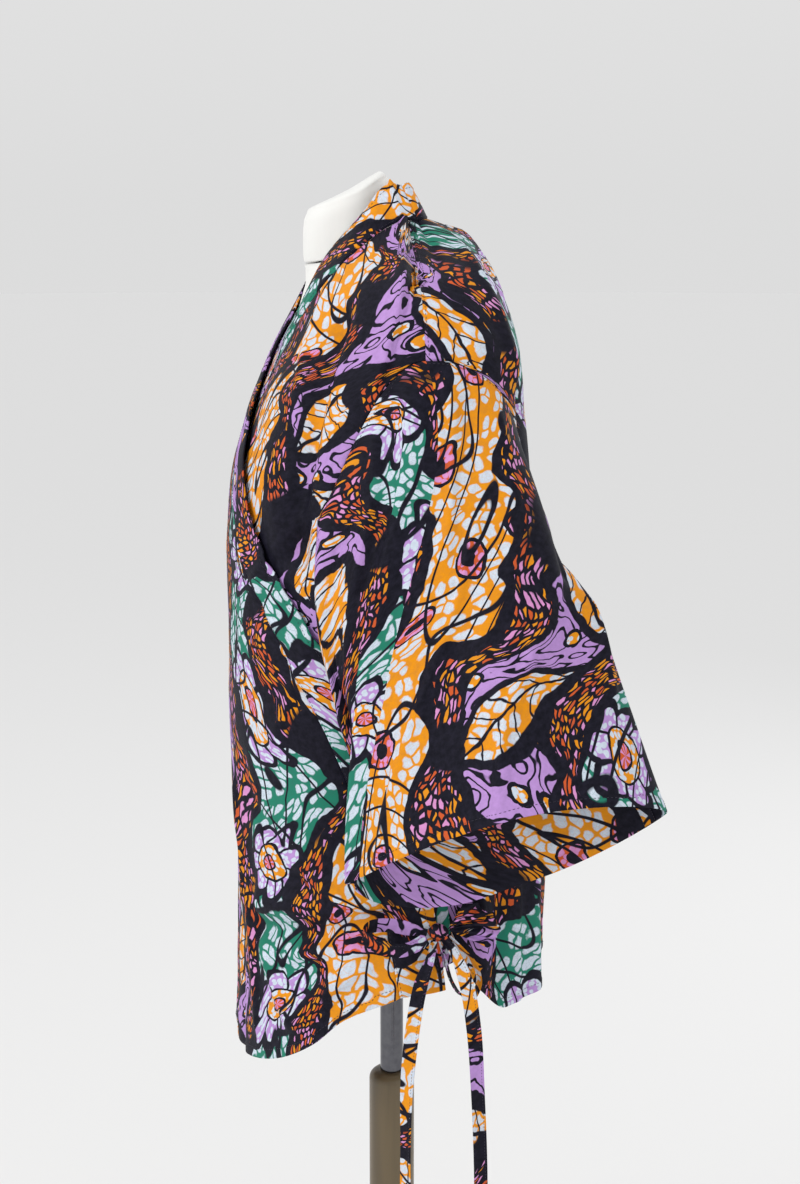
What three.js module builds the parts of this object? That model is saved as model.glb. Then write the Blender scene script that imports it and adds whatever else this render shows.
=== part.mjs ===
// A wrap-front kimono jacket with wide sleeves, worn by a limbless dress form on a pole stand.
// Millimetres, +Z up, the floor at z = 0. The wearer faces -Y, and +X is the wearer's left.
import * as THREE from "three";

// ---------- Driving dimensions ----------

const wall = 2; // thickness of every cloth wall
const seamGap = 0.3; // parting between two sewn pieces
const lapGap = 1.3; // parting where a sleeve is lapped over the armhole
const bandGap = 0.8; // parting between a front edge and the collar band
const neckLift = 1.3; // parting between the torso and the neck, measured upward
const lapClear = 3.2; // free space between the two wrapped fronts
const sideY = 15; // Y of the widest line of the jacket

const neckPointZ = 1403; // where the shoulder seams meet the collar
const shoulderSeamY = 8;
// The left front lies this many degrees under the right one, and comes level over the easing.
const underReach = { turns: 34, easing: 20 };
const underTop = { z: 1330, easing: 60 };
const armholeMid = { y: 8, z: 1165 };
const armholeHalf = { depth: 85, height: 130 };
// Fullness of the armhole's corners: its top is squarer behind and leaner in front.
const armholeFull = { backY: 0.85, backTop: 0.75, frontY: 1, frontTop: 2.5 };
const edgeBlend = 30; // degrees over which a row bends from the armhole's level to its own
const sideSeamHemY = { left: 40, right: 26 };

const bandWidth = 36; // collar band, neckline seam to free edge
const tieWidth = 13;
const tieThick = 1.6;

const baseRadius = 190;
const baseThick = 22;
const postRadius = 21.5;
const postTopZ = 600;
const poleRadius = 11;
const torsoBottomZ = 785;

const shoulderRows = 4;
const armholeRows = 14;
const sideRows = 9;
const lastRow = shoulderRows + armholeRows + sideRows;
const backColumns = 22;
const frontLeftColumns = 13;
const frontRightColumns = 20;
const sleeveRows = 12;
const formColumns = 32;

// Sections of the worn jacket: half width, reach to the front and back, and the fullness of the
// corners, where 1 is an ellipse and less is squarer.
const bodySections = [
  { z: 1410, half: 70, front: -26, back: 14, frontFull: 0.9, backFull: 0.9 },
  { z: 1398, half: 84, front: -36, back: 42, frontFull: 0.9, backFull: 0.88 },
  { z: 1391, half: 97, front: -42, back: 62, frontFull: 0.9, backFull: 0.86 },
  { z: 1380, half: 120, front: -50, back: 71, frontFull: 0.88, backFull: 0.8 },
  { z: 1355, half: 176, front: -66, back: 83, frontFull: 0.86, backFull: 0.72 },
  { z: 1325, half: 206, front: -84, back: 94, frontFull: 0.84, backFull: 0.66 },
  { z: 1290, half: 222, front: -104, back: 102, frontFull: 0.8, backFull: 0.62 },
  { z: 1230, half: 220, front: -128, back: 108, frontFull: 0.8, backFull: 0.62 },
  { z: 1170, half: 213, front: -144, back: 114, frontFull: 0.8, backFull: 0.64 },
  { z: 1100, half: 202, front: -150, back: 120, frontFull: 0.8, backFull: 0.68 },
  { z: 1035, half: 190, front: -149, back: 126, frontFull: 0.8, backFull: 0.72 },
  { z: 970, half: 181, front: -150, back: 131, frontFull: 0.82, backFull: 0.76 },
  { z: 895, half: 178, front: -148, back: 134, frontFull: 0.84, backFull: 0.78 },
  { z: 820, half: 180, front: -144, back: 136, frontFull: 0.86, backFull: 0.8 },
  { z: 740, half: 185, front: -143, back: 136, frontFull: 0.86, backFull: 0.82 },
  { z: 630, half: 192, front: -146, back: 135, frontFull: 0.86, backFull: 0.84 },
];

// Height of the hem round the body. Turn 0 is the middle of the front, 90 the wearer's left side.
const hemLine = [
  { turn: -180, z: 736 },
  { turn: -135, z: 722 },
  { turn: -90, z: 706 },
  { turn: -45, z: 674 },
  { turn: 0, z: 640 },
  { turn: 20, z: 653 },
  { turn: 40, z: 673 },
  { turn: 54, z: 695 },
  { turn: 67, z: 725 },
  { turn: 84, z: 748 },
  { turn: 98, z: 776 },
  { turn: 109, z: 748 },
  { turn: 122, z: 727 },
  { turn: 140, z: 732 },
  { turn: 180, z: 736 },
];

// Where the collar band is sewn on: down the neckline, and then down each front edge.
const leftSeam = [
  { z: 1410, turn: 83 },
  { z: 1403, turn: 78 },
  { z: 1398, turn: 67 },
  { z: 1383, turn: 45 },
  { z: 1370, turn: 33 },
  { z: 1342, turn: 20 },
  { z: 1300, turn: 10 },
  { z: 1262, turn: 3 },
  { z: 1200, turn: -7 },
  { z: 1045, turn: -20 },
  { z: 900, turn: -29 },
  { z: 620, turn: -40 },
];
const rightSeam = [
  { z: 1410, turn: -83 },
  { z: 1403, turn: -78 },
  { z: 1398, turn: -67 },
  { z: 1383, turn: -45 },
  { z: 1370, turn: -33 },
  { z: 1342, turn: -21 },
  { z: 1300, turn: -14 },
  { z: 1250, turn: -9 },
  { z: 1205, turn: -1 },
  { z: 1172, turn: 8 },
  { z: 1140, turn: 18 },
  { z: 1100, turn: 31 },
  { z: 1045, turn: 48 },
  { z: 970, turn: 65 },
  { z: 900, turn: 74 },
  { z: 808, turn: 80 },
  { z: 740, turn: 84 },
];

// The largest folds of the body, each a soft trough or ridge along one line.
const bodyFolds = [
  { turn: 47, z: 1318, toTurn: 52, toZ: 1135, depth: -15, spread: 17 },
  { turn: -47, z: 1322, toTurn: -53, toZ: 1075, depth: -13, spread: 18 },
  { turn: 122, z: 1368, toTurn: 132, toZ: 1285, depth: 6, spread: 15 },
  { turn: -124, z: 1362, toTurn: -131, toZ: 1292, depth: 5, spread: 16 },
  { turn: 143, z: 1270, toTurn: 138, toZ: 1010, depth: -9, spread: 20 },
  { turn: -141, z: 1258, toTurn: -146, toZ: 960, depth: -8, spread: 22 },
  { turn: 21, z: 930, toTurn: 24, toZ: 808, depth: -4, spread: 14 },
  { turn: 30, z: 806, toTurn: 78, toZ: 838, depth: 7, spread: 14 },
  { turn: 27, z: 782, toTurn: 76, toZ: 806, depth: -9, spread: 13 },
  { turn: 30, z: 772, toTurn: 46, toZ: 712, depth: 6, spread: 9 },
  { turn: 76, z: 800, toTurn: 50, toZ: 718, depth: 8, spread: 11 },
  { turn: 6, z: 760, toTurn: 9, toZ: 640, depth: -7, spread: 13 },
  { turn: -24, z: 900, toTurn: -19, toZ: 650, depth: 6, spread: 17 },
  { turn: -52, z: 980, toTurn: -47, toZ: 690, depth: -8, spread: 20 },
  { turn: -74, z: 900, toTurn: -70, toZ: 700, depth: 7, spread: 18 },
  { turn: 121, z: 900, toTurn: 118, toZ: 750, depth: -9, spread: 13 },
  { turn: 140, z: 880, toTurn: 139, toZ: 716, depth: 9, spread: 16 },
  { turn: 160, z: 940, toTurn: 158, toZ: 738, depth: -8, spread: 17 },
  { turn: 182, z: 1120, toTurn: 179, toZ: 740, depth: 6, spread: 22 },
  { turn: 204, z: 980, toTurn: 207, toZ: 736, depth: -9, spread: 18 },
  { turn: 226, z: 960, toTurn: 224, toZ: 722, depth: 8, spread: 18 },
  { turn: 249, z: 960, toTurn: 246, toZ: 715, depth: -8, spread: 17 },
];

// Four lines that the left sleeve follows from the armhole to the cuff.
const sleeveGuides = {
  outer: [
    [222, 30, 1293],
    [264, 30, 1160],
    [296, 52, 1050],
    [322, 72, 950],
  ],
  inner: [
    [201, -20, 1036],
    [203, -2, 985],
    [204, 24, 905],
    [203, 44, 838],
  ],
  back: [
    [205, 93, 1165],
    [240, 130, 1120],
    [260, 165, 1028],
    [276, 198, 936],
  ],
  front: [
    [197, -81, 1165],
    [204, -78, 1085],
    [213, -52, 985],
    [216, -50, 864],
  ],
};
const sleeveTwist = -74; // turn of the cloth about the sleeve, from armhole to cuff

// Folds of a sleeve: turn round it from the shoulder seam, and the way down it from 0 to 1.
const sleeveFolds = [
  { turn: -12, down: 0.0, toTurn: -12, toDown: 1.0, depth: 5, spread: 13 },
  { turn: 22, down: 0.1, toTurn: 38, toDown: 0.95, depth: -6, spread: 30 },
  { turn: 88, down: 0.25, toTurn: 96, toDown: 1.0, depth: -5, spread: 26 },
  { turn: -52, down: 0.2, toTurn: -42, toDown: 0.75, depth: -7, spread: 20 },
  { turn: -120, down: 0.45, toTurn: -128, toDown: 1.0, depth: 5, spread: 26 },
];

// Rings of the dress form, from the hips to the top of the neck. Side is the Y of a ring's widest
// line, rise how much higher its back is than its front, and pinch above 1 thins its two sides.
const formRings = [
  { z: torsoBottomZ, half: 158, front: -105, back: 109, side: 0, rise: 0, pinch: 1 },
  { z: 845, half: 163, front: -112, back: 117, side: 0, rise: 0, pinch: 1 },
  { z: 905, half: 156, front: -110, back: 111, side: 0, rise: 0, pinch: 1 },
  { z: 960, half: 137, front: -104, back: 96, side: 0, rise: 0, pinch: 1 },
  { z: 1010, half: 124, front: -102, back: 86, side: 0, rise: 0, pinch: 1 },
  { z: 1060, half: 133, front: -115, back: 86, side: 0, rise: 0, pinch: 1 },
  { z: 1110, half: 148, front: -135, back: 91, side: 0, rise: 0, pinch: 1 },
  { z: 1155, half: 157, front: -134, back: 94, side: 0, rise: 0, pinch: 1 },
  { z: 1210, half: 166, front: -118, back: 96, side: 0, rise: 0, pinch: 1 },
  { z: 1262, half: 174, front: -102, back: 92, side: 0, rise: 0, pinch: 1.05 },
  { z: 1300, half: 179, front: -91, back: 88, side: 3, rise: 0, pinch: 1.3 },
  { z: 1326, half: 179, front: -82, back: 78, side: 6, rise: 4, pinch: 2 },
  { z: 1340, half: 171, front: -78, back: 68, side: 6, rise: 14, pinch: 3 },
  { z: 1348, half: 155.5, front: -76, back: 56, side: 6, rise: 24, pinch: 4 },
  { z: 1354, half: 131, front: -76, back: 41, side: 6, rise: 31, pinch: 4.4 },
  { z: 1359, half: 100, front: -76, back: 27, side: 2, rise: 38, pinch: 3.6 },
  { z: 1364, half: 66, front: -77, back: 15, side: -6, rise: 44, pinch: 2 },
];
const neckRings = [
  { z: 1364, half: 66, front: -77, back: 15, side: -6, rise: 44, pinch: 2 },
  { z: 1372, half: 50, front: -78, back: 8, side: -22, rise: 43, pinch: 1.3 },
  { z: 1385, half: 46, front: -78, back: 4, side: -31, rise: 41, pinch: 1.1 },
  { z: 1400, half: 45, front: -77, back: 0, side: -33, rise: 34, pinch: 1 },
  { z: 1408, half: 44, front: -74, back: -5, side: -33, rise: 31, pinch: 1 },
  { z: 1412, half: 37, front: -66, back: -11, side: -33, rise: 28, pinch: 1 },
];

// ---------- Plain helpers ----------

const toRadians = (degrees) => (degrees * Math.PI) / 180;
const mix = (a, b, t) => a + (b - a) * t;
const smooth = (t) => {
  const s = Math.min(1, Math.max(0, t));
  return s * s * (3 - 2 * s);
};
const vector = (x, y, z) => new THREE.Vector3(x, y, z);

// A smooth function through one column of a table, which never overshoots its rows.
function through(rows, key, column) {
  const order = [...rows].sort((a, b) => a[key] - b[key]);
  const at = order.map((row) => row[key]);
  const value = order.map((row) => row[column]);
  const rate = at.slice(1).map((x, i) => (value[i + 1] - value[i]) / (x - at[i]));
  const slope = value.map((_, i) => {
    if (i === 0) return rate[0];
    if (i === value.length - 1) return rate[i - 1];
    const product = rate[i - 1] * rate[i];
    return product <= 0 ? 0 : (2 * product) / (rate[i - 1] + rate[i]);
  });
  return (x) => {
    const clamped = Math.min(at[at.length - 1], Math.max(at[0], x));
    let i = 0;
    while (i < at.length - 2 && clamped > at[i + 1]) i += 1;
    const span = at[i + 1] - at[i];
    const t = (clamped - at[i]) / span;
    const rest = 1 - t;
    const ends = value[i] * (1 + 2 * t) * rest * rest + value[i + 1] * (3 - 2 * t) * t * t;
    return ends + span * (slope[i] * t * rest * rest - slope[i + 1] * rest * t * t);
  };
}

function columnsOf(rows, key, names) {
  return Object.fromEntries(names.map((name) => [name, through(rows, key, name)]));
}

// ---------- The surface that the jacket's body follows ----------

const sectionNames = ["half", "front", "back", "frontFull", "backFull"];
const section = columnsOf(bodySections, "z", sectionNames);
const hemHeight = through(hemLine, "turn", "z");
const leftSeamTurn = through(leftSeam, "z", "turn");
const rightSeamTurn = through(rightSeam, "z", "turn");
const foldRadius = 170; // turns to millimetres, for the reach of a fold

function wrapTurn(turn) {
  return ((((turn + 180) % 360) + 360) % 360) - 180;
}

function plainBody(turn, z) {
  const across = Math.sin(toRadians(turn));
  const along = Math.cos(toRadians(turn));
  const isFront = along > 0;
  const full = isFront ? section.frontFull(z) : section.backFull(z);
  const reach = isFront ? section.front(z) - sideY : section.back(z) - sideY;
  const x = section.half(z) * Math.sign(across) * Math.abs(across) ** full;
  return vector(x, sideY + reach * Math.abs(along) ** full, z);
}

function bodyNormal(turn, z) {
  const step = 1.5;
  const round = plainBody(turn + step, z).sub(plainBody(turn - step, z));
  const up = plainBody(turn, z + step).sub(plainBody(turn, z - step));
  return round.cross(up).normalize();
}

// The turn at which the left half of the body reaches the given Y.
function turnAtY(y, z) {
  const isFront = y < sideY;
  const full = isFront ? section.frontFull(z) : section.backFull(z);
  const reach = isFront ? sideY - section.front(z) : section.back(z) - sideY;
  const share = Math.min(1, Math.abs(y - sideY) / reach);
  const turn = (Math.acos(share ** (1 / full)) * 180) / Math.PI;
  return isFront ? turn : 180 - turn;
}

function segmentDistance(u, v, fromU, fromV, toU, toV) {
  const du = toU - fromU;
  const dv = toV - fromV;
  const t = ((u - fromU) * du + (v - fromV) * dv) / (du * du + dv * dv);
  const clamped = Math.min(1, Math.max(0, t));
  return Math.hypot(u - fromU - du * clamped, v - fromV - dv * clamped);
}

function bodyFoldDepth(turn, z) {
  return bodyFolds.reduce((sum, fold) => {
    const u = toRadians(wrapTurn(turn - fold.turn)) * foldRadius;
    const toU = toRadians(fold.toTurn - fold.turn) * foldRadius;
    const distance = segmentDistance(u, z, 0, fold.z, toU, fold.toZ);
    return sum + fold.depth * Math.exp(-((distance / fold.spread) ** 2));
  }, 0);
}

// How far the under layer is pushed in below the wrapped front: 1 under it, 0 clear of it.
function underlap(turn, z) {
  const cover = rightSeamTurn(z) + underReach.turns - turn;
  return smooth(cover / underReach.easing) * smooth((underTop.z - z) / underTop.easing);
}

// A point of the jacket's body with its folds, and the outward normal that goes with it.
function bodyPoint(turn, z, isUnder) {
  const normal = bodyNormal(turn, z);
  const cover = isUnder ? underlap(turn, z) : 0;
  const fold = bodyFoldDepth(turn, z);
  const lift = mix(fold, Math.min(fold, 0), cover) - cover * (wall + lapClear);
  return { point: plainBody(turn, z).addScaledVector(normal, lift), normal };
}

// ---------- Closed walls ----------

// A closed wall round a grid of { point, normal }. A ring wall closes on itself by columns.
function wallGeometry(grid, thickness, isRing = false) {
  const rows = grid.length;
  const columns = grid[0].length;
  const positions = [];
  for (const side of [0.5, -0.5])
    for (const row of grid)
      for (const { point, normal } of row)
        positions.push(...point.clone().addScaledVector(normal, side * thickness).toArray());
  const outer = (r, c) => r * columns + (c % columns);
  const inner = (r, c) => rows * columns + outer(r, c);
  const indices = [];
  const quad = (a, b, c, d) => indices.push(a, b, c, a, c, d);
  const steps = isRing ? columns : columns - 1;
  for (let r = 0; r < rows - 1; r += 1)
    for (let c = 0; c < steps; c += 1) {
      quad(outer(r, c), outer(r + 1, c), outer(r + 1, c + 1), outer(r, c + 1));
      quad(inner(r, c), inner(r, c + 1), inner(r + 1, c + 1), inner(r + 1, c));
    }
  for (let c = 0; c < steps; c += 1) {
    quad(outer(0, c), outer(0, c + 1), inner(0, c + 1), inner(0, c));
    quad(outer(rows - 1, c + 1), outer(rows - 1, c), inner(rows - 1, c), inner(rows - 1, c + 1));
  }
  if (!isRing)
    for (let r = 0; r < rows - 1; r += 1) {
      const end = columns - 1;
      quad(outer(r + 1, 0), outer(r, 0), inner(r, 0), inner(r + 1, 0));
      quad(outer(r, end), outer(r + 1, end), inner(r + 1, end), inner(r, end));
    }
  return indexedGeometry(positions, indices);
}

function indexedGeometry(positions, indices) {
  const geometry = new THREE.BufferGeometry();
  geometry.setAttribute("position", new THREE.Float32BufferAttribute(positions, 3));
  geometry.setIndex(indices);
  geometry.computeVertexNormals();
  return geometry;
}

// A closed solid through rings of points, all turned the same way, with flat caps.
function ringSolid(rings) {
  const columns = rings[0].length;
  const positions = rings.flat().flatMap((point) => point.toArray());
  const middle = (ring) =>
    ring.reduce((sum, point) => sum.add(point), vector(0, 0, 0)).divideScalar(columns);
  positions.push(...middle(rings[0]).toArray(), ...middle(rings[rings.length - 1]).toArray());
  const bottomMiddle = rings.length * columns;
  const topMiddle = bottomMiddle + 1;
  const topStart = (rings.length - 1) * columns;
  const indices = [];
  for (let r = 0; r < rings.length - 1; r += 1)
    for (let c = 0; c < columns; c += 1) {
      const next = (c + 1) % columns;
      const a = r * columns + c;
      const b = r * columns + next;
      indices.push(a, b, b + columns, a, b + columns, a + columns);
    }
  for (let c = 0; c < columns; c += 1) {
    const next = (c + 1) % columns;
    indices.push(bottomMiddle, next, c, topMiddle, topStart + c, topStart + next);
  }
  return indexedGeometry(positions, indices);
}

// ---------- Panels of the body ----------

// A place on the armhole seam, by its turn from the top: positive towards the back.
function armholePlace(turn) {
  const across = Math.sin(toRadians(turn));
  const up = Math.cos(toRadians(turn));
  const isBack = across > 0;
  const yFull = isBack ? armholeFull.backY : armholeFull.frontY;
  const topFull = isBack ? armholeFull.backTop : armholeFull.frontTop;
  const rise = up > 0 ? up ** topFull : up;
  return {
    y: armholeMid.y + armholeHalf.depth * Math.sign(across) * Math.abs(across) ** yFull,
    z: armholeMid.z + armholeHalf.height * rise,
  };
}

const armholeFrontTurns = (row) => (-180 * row) / armholeRows;
const armholeBackTurns = (row) => (180 * row) / armholeRows;
const underarm = armholePlace(180);
const shoulderTip = armholePlace(0);
const firstSideRow = shoulderRows + armholeRows;

// The outer edge of a panel on the left: shoulder seam, armhole, then side seam.
function outerEdge(row, armholeTurns, hemY) {
  if (row <= shoulderRows) {
    const t = row / shoulderRows;
    const z = mix(neckPointZ, shoulderTip.z, t);
    return { z, turn: turnAtY(mix(shoulderSeamY, shoulderTip.y, t), z) };
  }
  if (row <= firstSideRow) {
    const { y, z } = armholePlace(armholeTurns(row - shoulderRows));
    return { z, turn: turnAtY(y, z) };
  }
  const t = (row - firstSideRow) / sideRows;
  const y = mix(underarm.y, hemY, t);
  const z = mix(underarm.z, hemHeight(turnAtY(hemY, underarm.z)), t);
  return { z, turn: turnAtY(y, z) };
}

// Height of a row away from the armhole. Below the underarm the rows are spread to the hem.
function rowHeight(row, turn) {
  if (row <= shoulderRows) return mix(neckPointZ, shoulderTip.z, row / shoulderRows);
  if (row <= firstSideRow) return mix(shoulderTip.z, underarm.z, (row - shoulderRows) / armholeRows);
  return mix(underarm.z, hemHeight(wrapTurn(turn)), (row - firstSideRow) / sideRows);
}

// A panel between two edges. Near an armhole its rows bend to meet the seam's own points.
function panelGrid(columns, isUnder, rowEdges) {
  const inset = seamGap / 2;
  return Array.from({ length: lastRow + 1 }, (_, row) => {
    const { from, to, fromZ, toZ } = rowEdges(row);
    const reach = plainBody(from, fromZ).distanceTo(plainBody(from + 2, fromZ)) / 2;
    const shift = inset / reach;
    return Array.from({ length: columns + 1 }, (_, column) => {
      const turn = mix(from + shift, to - shift, column / columns);
      const middleZ = rowHeight(row, turn);
      const nearFrom = smooth(1 - (turn - from) / edgeBlend) * (fromZ - middleZ);
      const nearTo = smooth(1 - (to - turn) / edgeBlend) * (toZ - middleZ);
      const bend = row < firstSideRow ? nearFrom + nearTo : 0;
      return bodyPoint(turn, middleZ + bend, isUnder);
    });
  });
}

function backPanel() {
  return panelGrid(backColumns, true, (row) => {
    const left = outerEdge(row, armholeBackTurns, sideSeamHemY.left);
    const right = outerEdge(row, armholeBackTurns, sideSeamHemY.right);
    return { from: left.turn, to: 360 - right.turn, fromZ: left.z, toZ: right.z };
  });
}

function frontLeft() {
  return panelGrid(frontLeftColumns, true, (row) => {
    const outer = outerEdge(row, armholeFrontTurns, sideSeamHemY.left);
    const inner = seamPlace(leftSeamTurn, row);
    return { from: inner.turn, to: outer.turn, fromZ: inner.z, toZ: outer.z };
  });
}

function frontRight() {
  return panelGrid(frontRightColumns, false, (row) => {
    const outer = outerEdge(row, armholeFrontTurns, sideSeamHemY.right);
    const inner = seamPlace(rightSeamTurn, row);
    return { from: -outer.turn, to: inner.turn, fromZ: outer.z, toZ: inner.z };
  });
}

// Where a row meets the collar band. The hem's height depends on the turn, so it is found by steps.
function seamPlace(seamTurn, row) {
  let place = { turn: 0, z: rowHeight(row, 0) };
  for (let step = 0; step < 8; step += 1) {
    const turn = seamTurn(place.z);
    place = { turn, z: rowHeight(row, turn) };
  }
  return place;
}

// ---------- Collar band ----------

const bandLift = 5; // how far the band rolls off the collar bones
const bandRollZ = { low: 1300, full: 1340, end: 1400, easing: 20 };
const bandStandZ = { low: 1342, full: 1387 }; // below low the band lies flat, above full it stands
const bandLeanZ = { low: 1378, full: 1408 }; // it stands straighter towards the nape
const bandLean = { front: -0.8, back: -0.48 };
const bandPitch = 0.45; // beside the neck the standing band leans forward too
const easedShare = (z, { low, full }) => smooth((z - low) / (full - low));
const standRoll = (z) => easedShare(z, bandRollZ) * smooth((bandRollZ.end - z) / bandRollZ.easing);

// One station of the band: its seam, and the way across it to its free edge.
function bandStation(turn, z, seamSlope, side) {
  const isUnder = side > 0;
  const columns = 2;
  const seam = bodyPoint(turn, z, isUnder);
  const outward = vector(seam.point.x, seam.point.y - sideY, 0).normalize();
  const lean = mix(bandLean.front, bandLean.back, easedShare(z, bandLeanZ));
  const pitch = -bandPitch * (1 - Math.abs(outward.y));
  const standing = vector(0, pitch, 1).addScaledVector(outward, lean).normalize();
  const standShare = easedShare(z, bandStandZ);
  return Array.from({ length: columns + 1 }, (_, column) => {
    const reach = bandGap + (bandWidth * column) / columns;
    const run = Math.hypot(1, seamSlope);
    const turnStep = (-side * reach) / run / mmPerDegree(turn, z);
    const lying = bodyPoint(turn + turnStep, z + (side * reach * seamSlope) / run, isUnder);
    const point = seam.point.clone().addScaledVector(standing, reach);
    const roll = (bandLift * standRoll(z) * column) / columns;
    const lifted = lying.point.addScaledVector(lying.normal, roll);
    point.lerp(lifted, 1 - standShare);
    const upright = outward.clone().addScaledVector(vector(0, 0, 1), 0.5).normalize();
    const normal = upright.lerp(lying.normal, 1 - standShare);
    return { point, normal: column === 0 ? seam.normal : normal.normalize() };
  });
}

function mmPerDegree(turn, z) {
  return plainBody(turn - 2, z).distanceTo(plainBody(turn + 2, z)) / 4;
}

// The seam's run sideways for each millimetre that it falls.
function seamSlopeAt(seamTurn, z) {
  const step = 6;
  const turn = seamTurn(z);
  const change = (seamTurn(z + step) - seamTurn(z - step)) * mmPerDegree(turn, z);
  return change / (2 * step);
}

function collarBand() {
  const rows = Array.from({ length: lastRow + 1 }, (_, row) => row);
  const strand = (seamTurn, side) =>
    rows.map((row) => {
      const { turn, z } = seamPlace(seamTurn, row);
      return bandStation(turn, z, seamSlopeAt(seamTurn, z), side);
    });
  const left = strand(leftSeamTurn, 1);
  const right = strand(rightSeamTurn, -1);
  const start = turnAtY(shoulderSeamY, neckPointZ);
  const neck = Array.from({ length: backColumns + 1 }, (_, i) => {
    const turn = mix(start, 360 - start, i / backColumns);
    return bandStation(turn, neckPointZ, 0, turn < 180 ? 1 : -1);
  });
  return [...left.reverse(), ...neck, ...right];
}

// ---------- Sleeves ----------

const guideCurves = Object.fromEntries(
  Object.entries(sleeveGuides).map(([name, points]) => [
    name,
    new THREE.CatmullRomCurve3(points.map(([x, y, z]) => vector(x, y, z))),
  ]),
);

// A sleeve was pressed flat, so its section comes to a soft point at the front and the back.
const pressedFull = { across: 1.2, along: 1.5 };

function guideRing(turn, down) {
  const at = (name) => guideCurves[name].getPoint(down);
  const middle = at("back").lerp(at("front"), 0.5);
  const across = Math.sin(toRadians(turn));
  const along = Math.cos(toRadians(turn));
  const sideways = at(across > 0 ? "back" : "front").sub(middle);
  const upright = at(along > 0 ? "outer" : "inner").sub(middle);
  return middle
    .addScaledVector(sideways, Math.abs(across) ** pressedFull.across)
    .addScaledVector(upright, Math.abs(along) ** pressedFull.along);
}

const sleeveRadius = 110; // turns and shares to millimetres, for the reach of a fold
const sleeveLength = 380;

function sleeveFoldDepth(turn, down) {
  const fade = smooth(down / 0.15);
  return sleeveFolds.reduce((sum, fold) => {
    const u = toRadians(wrapTurn(turn - fold.turn)) * sleeveRadius;
    const toU = toRadians(fold.toTurn - fold.turn) * sleeveRadius;
    const v = down * sleeveLength;
    const toV = fold.toDown * sleeveLength;
    const distance = segmentDistance(u, v, 0, fold.down * sleeveLength, toU, toV);
    return sum + fade * fold.depth * Math.exp(-((distance / fold.spread) ** 2));
  }, 0);
}

// The armhole seam itself, lifted clear of the panels that it is sewn to.
function armholeSeam(turn, isUnder) {
  const { y, z } = armholePlace(turn);
  const bodyTurn = turnAtY(y, z);
  const { point, normal } = isUnder
    ? bodyPoint(bodyTurn, z, true)
    : mirrored(bodyPoint(-bodyTurn, z, false));
  return point.addScaledVector(normal, wall / 2 + lapGap);
}

function sleeveMiddle(turn, down, isUnder) {
  const twist = sleeveTwist * smooth(down);
  const fromArmhole = armholeSeam(turn, isUnder).sub(guideRing(turn, 0));
  return guideRing(turn + twist, down).addScaledVector(fromArmhole, (1 - down) ** 6);
}

function sleevePoint(turn, down, isUnder) {
  const step = 2;
  const stepDown = 0.02;
  const middle = (t, d) => sleeveMiddle(t, Math.min(1, Math.max(0, d)), isUnder);
  const round = middle(turn + step, down).sub(middle(turn - step, down));
  const along = middle(turn, down + stepDown).sub(middle(turn, down - stepDown));
  const normal = along.cross(round).normalize();
  const lift = sleeveFoldDepth(turn, down);
  return { point: middle(turn, down).addScaledVector(normal, lift), normal };
}

function sleeveGrid(isUnder) {
  const backTurns = Array.from({ length: armholeRows }, (_, i) => armholeBackTurns(i));
  const frontTurns = Array.from({ length: armholeRows }, (_, i) => armholeFrontTurns(i + 1));
  const turns = [...backTurns, ...frontTurns.reverse().map((turn) => turn + 360)];
  return Array.from({ length: sleeveRows + 1 }, (_, row) =>
    turns.map((turn) => sleevePoint(turn, row / sleeveRows, isUnder)),
  );
}

function mirrored({ point, normal }) {
  const flip = ({ x, y, z }) => vector(-x, y, z);
  return { point: flip(point), normal: flip(normal) };
}

const mirroredGrid = (grid) => grid.map((row) => [...row].reverse().map(mirrored));

// ---------- Tie, bow and gathered corner ----------

const knotHalf = { x: 6.5, y: 9, z: 7.5 };
const knotTurn = 92;
const knotZ = 808;
const knotParting = 0.4; // between the knot and the band below it

const knotSeat = bodyPoint(knotTurn, knotZ, false);
const knotCentre = knotSeat.point
  .clone()
  .addScaledVector(knotSeat.normal, wall / 2 + knotHalf.x + knotParting);

// Routes of the straps from the knot, as offsets from its middle: out (+X), back (+Y) and up.
const strapRoutes = {
  bow_loop_front: [
    [2, -9.8, 0],
    [1, -22, 3],
    [0, -40, 7],
    [5, -58, 8],
    [13, -64, 4],
    [19, -54, -3],
    [17, -34, -9],
    [10, -19, -7],
    [6.8, -10.4, -3],
  ],
  bow_loop_drop: [
    [1, 2, -8.2],
    [5, 6, -24],
    [7, 11, -42],
    [8, 20, -55],
    [8, 29, -55],
    [8, 34, -42],
    [7, 29, -25],
    [5, 19, -13],
    [1, 9.6, -3.5],
  ],
  tie_tail_front: [
    [2, -3, -7.6],
    [9, -8, -22],
    [14, -16, -41],
    [16, -23, -78],
    [16, -28, -130],
    [15, -29, -190],
    [14, -29, -256],
  ],
  tie_tail_back: [
    [6.6, 3.4, -3],
    [17, 12, -13],
    [24, 21, -36],
    [25, 28, -80],
    [23, 32, -140],
    [21, 35, -205],
    [20, 36, -268],
  ],
};
const strapWidthWays = {
  bow_loop_front: [0, 0, 1],
  bow_loop_drop: [1, 0.25, 0],
  tie_tail_front: [0.35, 1, 0],
  tie_tail_back: [0.2, 1, 0],
};

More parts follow.
